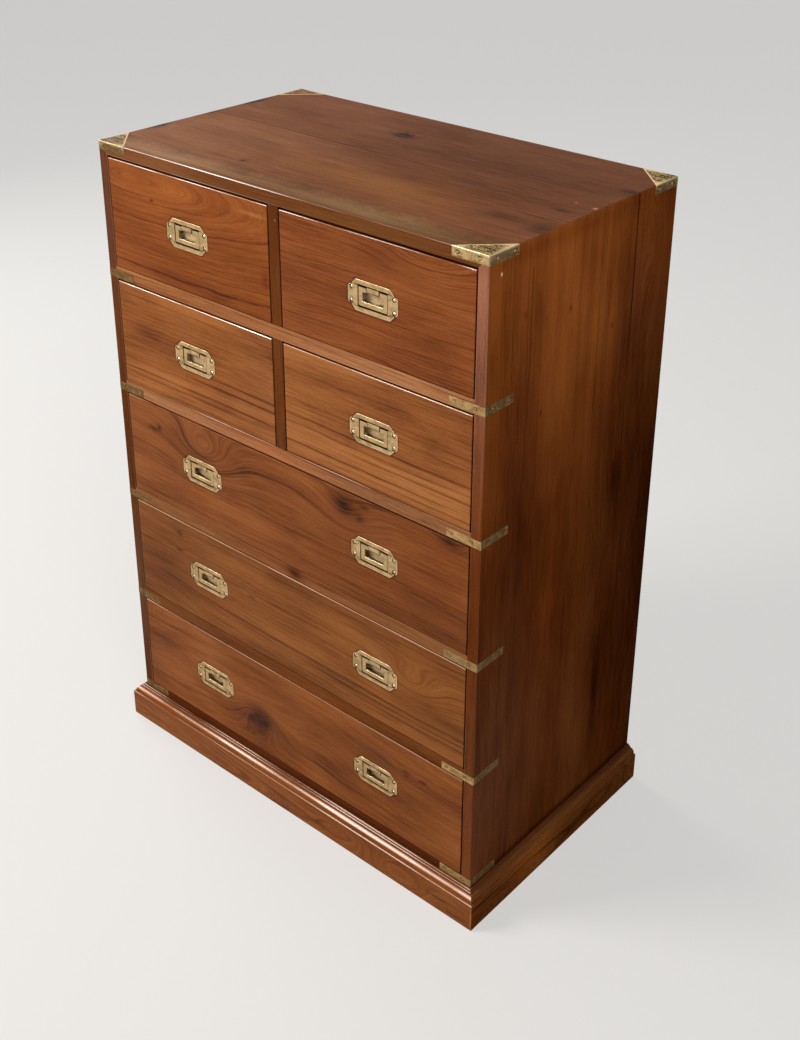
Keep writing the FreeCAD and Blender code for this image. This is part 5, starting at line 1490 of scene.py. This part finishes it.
def dish(steps=12):
    """A pressed pan: a rim, steep walls and a floor that is hardly hollow.

    Ring v runs from the rim to the middle. Its outline is a superellipse; the depth
    follows a smooth step down the wall and then a shallow parabola across the floor.
    Returns points, faces and painted shade for each point: its outside dark, darker down the wall, at the
    edge of the floor and low in the pan.
    """
    wall = np.linspace(0, 1, steps)[:, None]
    floor = np.linspace(0.12, 1, steps)[:, None]
    half = np.concatenate([PAN_HALF + (FLOOR_HALF - PAN_HALF) * wall, FLOOR_HALF * (1 - 0.98 * floor)])
    rise = np.concatenate([PAN_RISE + (FLOOR_RISE - PAN_RISE) * wall, FLOOR_RISE * (1 - 0.98 * floor)])
    down_wall = (wall * wall * (3 - 2 * wall)) ** 0.8
    deep = PAN_DEPTH * np.concatenate([down_wall, 1 + 0.08 * (1 - (1 - floor) ** 2)])
    angle = np.linspace(0, 2 * math.pi, 48, endpoint=False)[None, :]
    c, s = np.cos(angle), np.sin(angle)
    x = half * np.sign(c) * np.abs(c) ** 0.4
    z = rise * np.sign(s) * np.abs(s) ** 0.4
    inside = np.stack([x, np.broadcast_to(deep, x.shape), z], -1)
    outside = inside * (1 + PAN_SHEET / PAN_HALF, 1, 1 + PAN_SHEET / PAN_RISE) + (0, PAN_SHEET, 0)
    outside[0, :, 1] = inside[0, :, 1]
    rows = np.concatenate([outside[::-1], inside])
    # Painted shade: the outside is dark, the wall darkens downwards, and the floor's edge and the lowest part
    # are darker.
    fading = np.maximum(0, 1 - 9 * (floor[:, 0] - 0.12))
    shade = np.concatenate([np.ones(steps * 2), np.linspace(0.1, 0.6, steps), 0.3 * fading])
    lowest = np.clip((-rows[..., 2] - 6.5 * MM) / (5 * MM), 0, 1)
    shade = np.maximum(shade[:, None], lowest).reshape(-1)
    return rows.reshape(-1, 3) + (0, PLATE_THICKNESS, 0), capped(*rows.shape[:2]), shade


pan_points, pan_faces, pan_shade = dish()
plate_finish = brass(
    "plate_brass", (0.64, 0.43, 0.22), (0.31, 0.212, 0.095), roughness=0.38, tarnish=0.85, rubbed_and_lit=0.4
)
pan_finish = brass(
    "pan_brass", (0.80, 0.58, 0.33), (0.50, 0.36, 0.20), roughness=0.55, tarnish=0.8, streaky=0.5, metal=0.35
)
for number in ROW_PULLS:
    pulls = pulls_of(number)
    shapes = together([(plate_points + (at + (0, -PLATE_PROUD, 0)), plate_faces) for at in pulls])
    wear_and_highlight, painted_shade = np.tile(plate_arris, len(pulls)), np.tile(plate_shade, len(pulls))
    plates = new_piece(f"plates_{number}", *shapes, plate_finish, wear_and_highlight, painted_shade)
    fit(plates, f"drawer_{number}", "brass_fittings", f"drawer_{number}_plates")
    shapes = together([(pan_points + at, pan_faces) for at in pulls])
    pans = new_piece(f"pans_{number}", *shapes, pan_finish, hollow=np.tile(pan_shade, len(pulls)), sharp=60)
    fit(pans, f"drawer_{number}", "brass_fittings")

# ------------------------------------------------------------------ bails
# A flat brass bail with bevelled edges folds into each opening. Its arms turn in to the
# tongue as knuckles and hang there on a pin, so that a fingertip can lift its lower bar.
BAIL_HALF, BAIL_FOOT, BAIL_TOP = 25.9 * MM, 14.2 * MM, 13.2 * MM
BAIL_BAR = 7 * MM
KNUCKLE_INSIDE = TONGUE_HALF + 1.1 * MM
BAIL_RECESS, BAIL_THICKNESS = 0.3 * MM, 3 * MM
arm_inside = BAIL_HALF - BAIL_BAR
bail_half_outline = np.array(
    (
        (BAIL_HALF, -BAIL_FOOT),
        (BAIL_HALF, BAIL_TOP),
        (KNUCKLE_INSIDE, BAIL_TOP),
        (KNUCKLE_INSIDE, BAIL_TOP - BAIL_BAR),
        (arm_inside, BAIL_TOP - BAIL_BAR),
        (arm_inside, BAIL_BAR - BAIL_FOOT),
    )
)
bail_corners = np.concatenate([bail_half_outline, bail_half_outline[::-1] * (-1, 1)])
bail_radii = [r * MM for r in (2.4, 0.8, 0.7, 0.7, 0.6, 1.2, 1.2, 0.6, 0.7, 0.7, 0.8, 2.4)]
bail_walls = wall_steps((BAIL_RECESS, BAIL_RECESS + BAIL_THICKNESS), (0.55 * MM, 0.4 * MM))
bail_points, bail_faces = slab([soft_loop(bail_corners, bail_radii, 4)], [bail_walls], FACE_PLANE)
aside, bail_height = np.abs(bail_points[:, 0]), bail_points[:, 2]
bail_depth = bail_points[:, 1] - BAIL_RECESS
inner_wall = (aside < arm_inside + 0.7 * MM) & (bail_height > BAIL_BAR - BAIL_FOOT - 0.7 * MM)
under_lip = bail_height > BAIL_TOP - 0.6 * MM
outer_foot = bail_height < 0.55 * MM - BAIL_FOOT
past_bevel = bail_depth > IN_PLANE
# The bevels are painted pale as wear together with a highlight, a little less inside the frame; the walls
# past them, the top edge and the bottom edge are painted dark as shade.
at_bevel = past_bevel & (bail_depth < 0.45 * MM) & ~under_lip & ~outer_foot
bail_arris = at_bevel * np.where(inner_wall, 0.8, 1.0)
bail_shade = ((bail_depth > 0.6 * MM) & ~inner_wall) | ((under_lip | outer_foot) & past_bevel)
bail_finish = brass(
    "bail_brass", (0.59, 0.40, 0.205), (0.33, 0.226, 0.105), roughness=0.40, tarnish=0.7, rubbed_and_lit=0.3
)
for number, hands in ROW_PULLS.items():
    for hand, at in zip(hands, pulls_of(number)):
        ending = "" if len(hands) == 1 else "_left" if hand < 0 else "_right"
        name = f"bail_{number}{ending}"
        bail = new_piece(f"{name}_bar", bail_points + at, bail_faces, bail_finish, bail_arris, bail_shade, 50)
        fit(bail, name, "brass_fittings", f"drawer_{number}_bail{ending}")

# ------------------------------------------------------------------ pull screws and pins
# The same slotted screws hold the plates; each bail's pin is a short brass rod that lies
# behind the tongue.
PIN_RISE, PIN_DEPTH, PIN_HALF, PIN_RADIUS = 10.95 * MM, 1.8 * MM, 19 * MM, 0.8 * MM
HEAD_DEPTH = 0.45 * MM
pin_shape = turned(((0, -PIN_HALF), (PIN_RADIUS, -PIN_HALF), (PIN_RADIUS, PIN_HALF), (0, PIN_HALF)), 14)
pull_shade = np.concatenate([np.tile(RAISED_SHADE, len(PULL_SCREWS)), np.zeros(len(pin_shape[0]))])
for number in ROW_PULLS:
    pulls = pulls_of(number)
    fixings = []
    for at in pulls:
        for x, z in PULL_SCREWS:
            spin = draw.uniform(0, math.pi)
            fixings.append(driven(RAISED_SCREW, at + (x, HEAD_DEPTH, z), INTO_BACK, spin))
        fixings.append(driven(pin_shape, at + (0, PIN_DEPTH, PIN_RISE), INTO_RIGHT))
    painted_shade = np.tile(pull_shade, len(pulls))
    fixed = new_piece(f"fixings_{number}", *together(fixings), screw_finish, hollow=painted_shade)
    fit(fixed, f"drawer_{number}", "brass_screws", f"drawer_{number}_fixings")
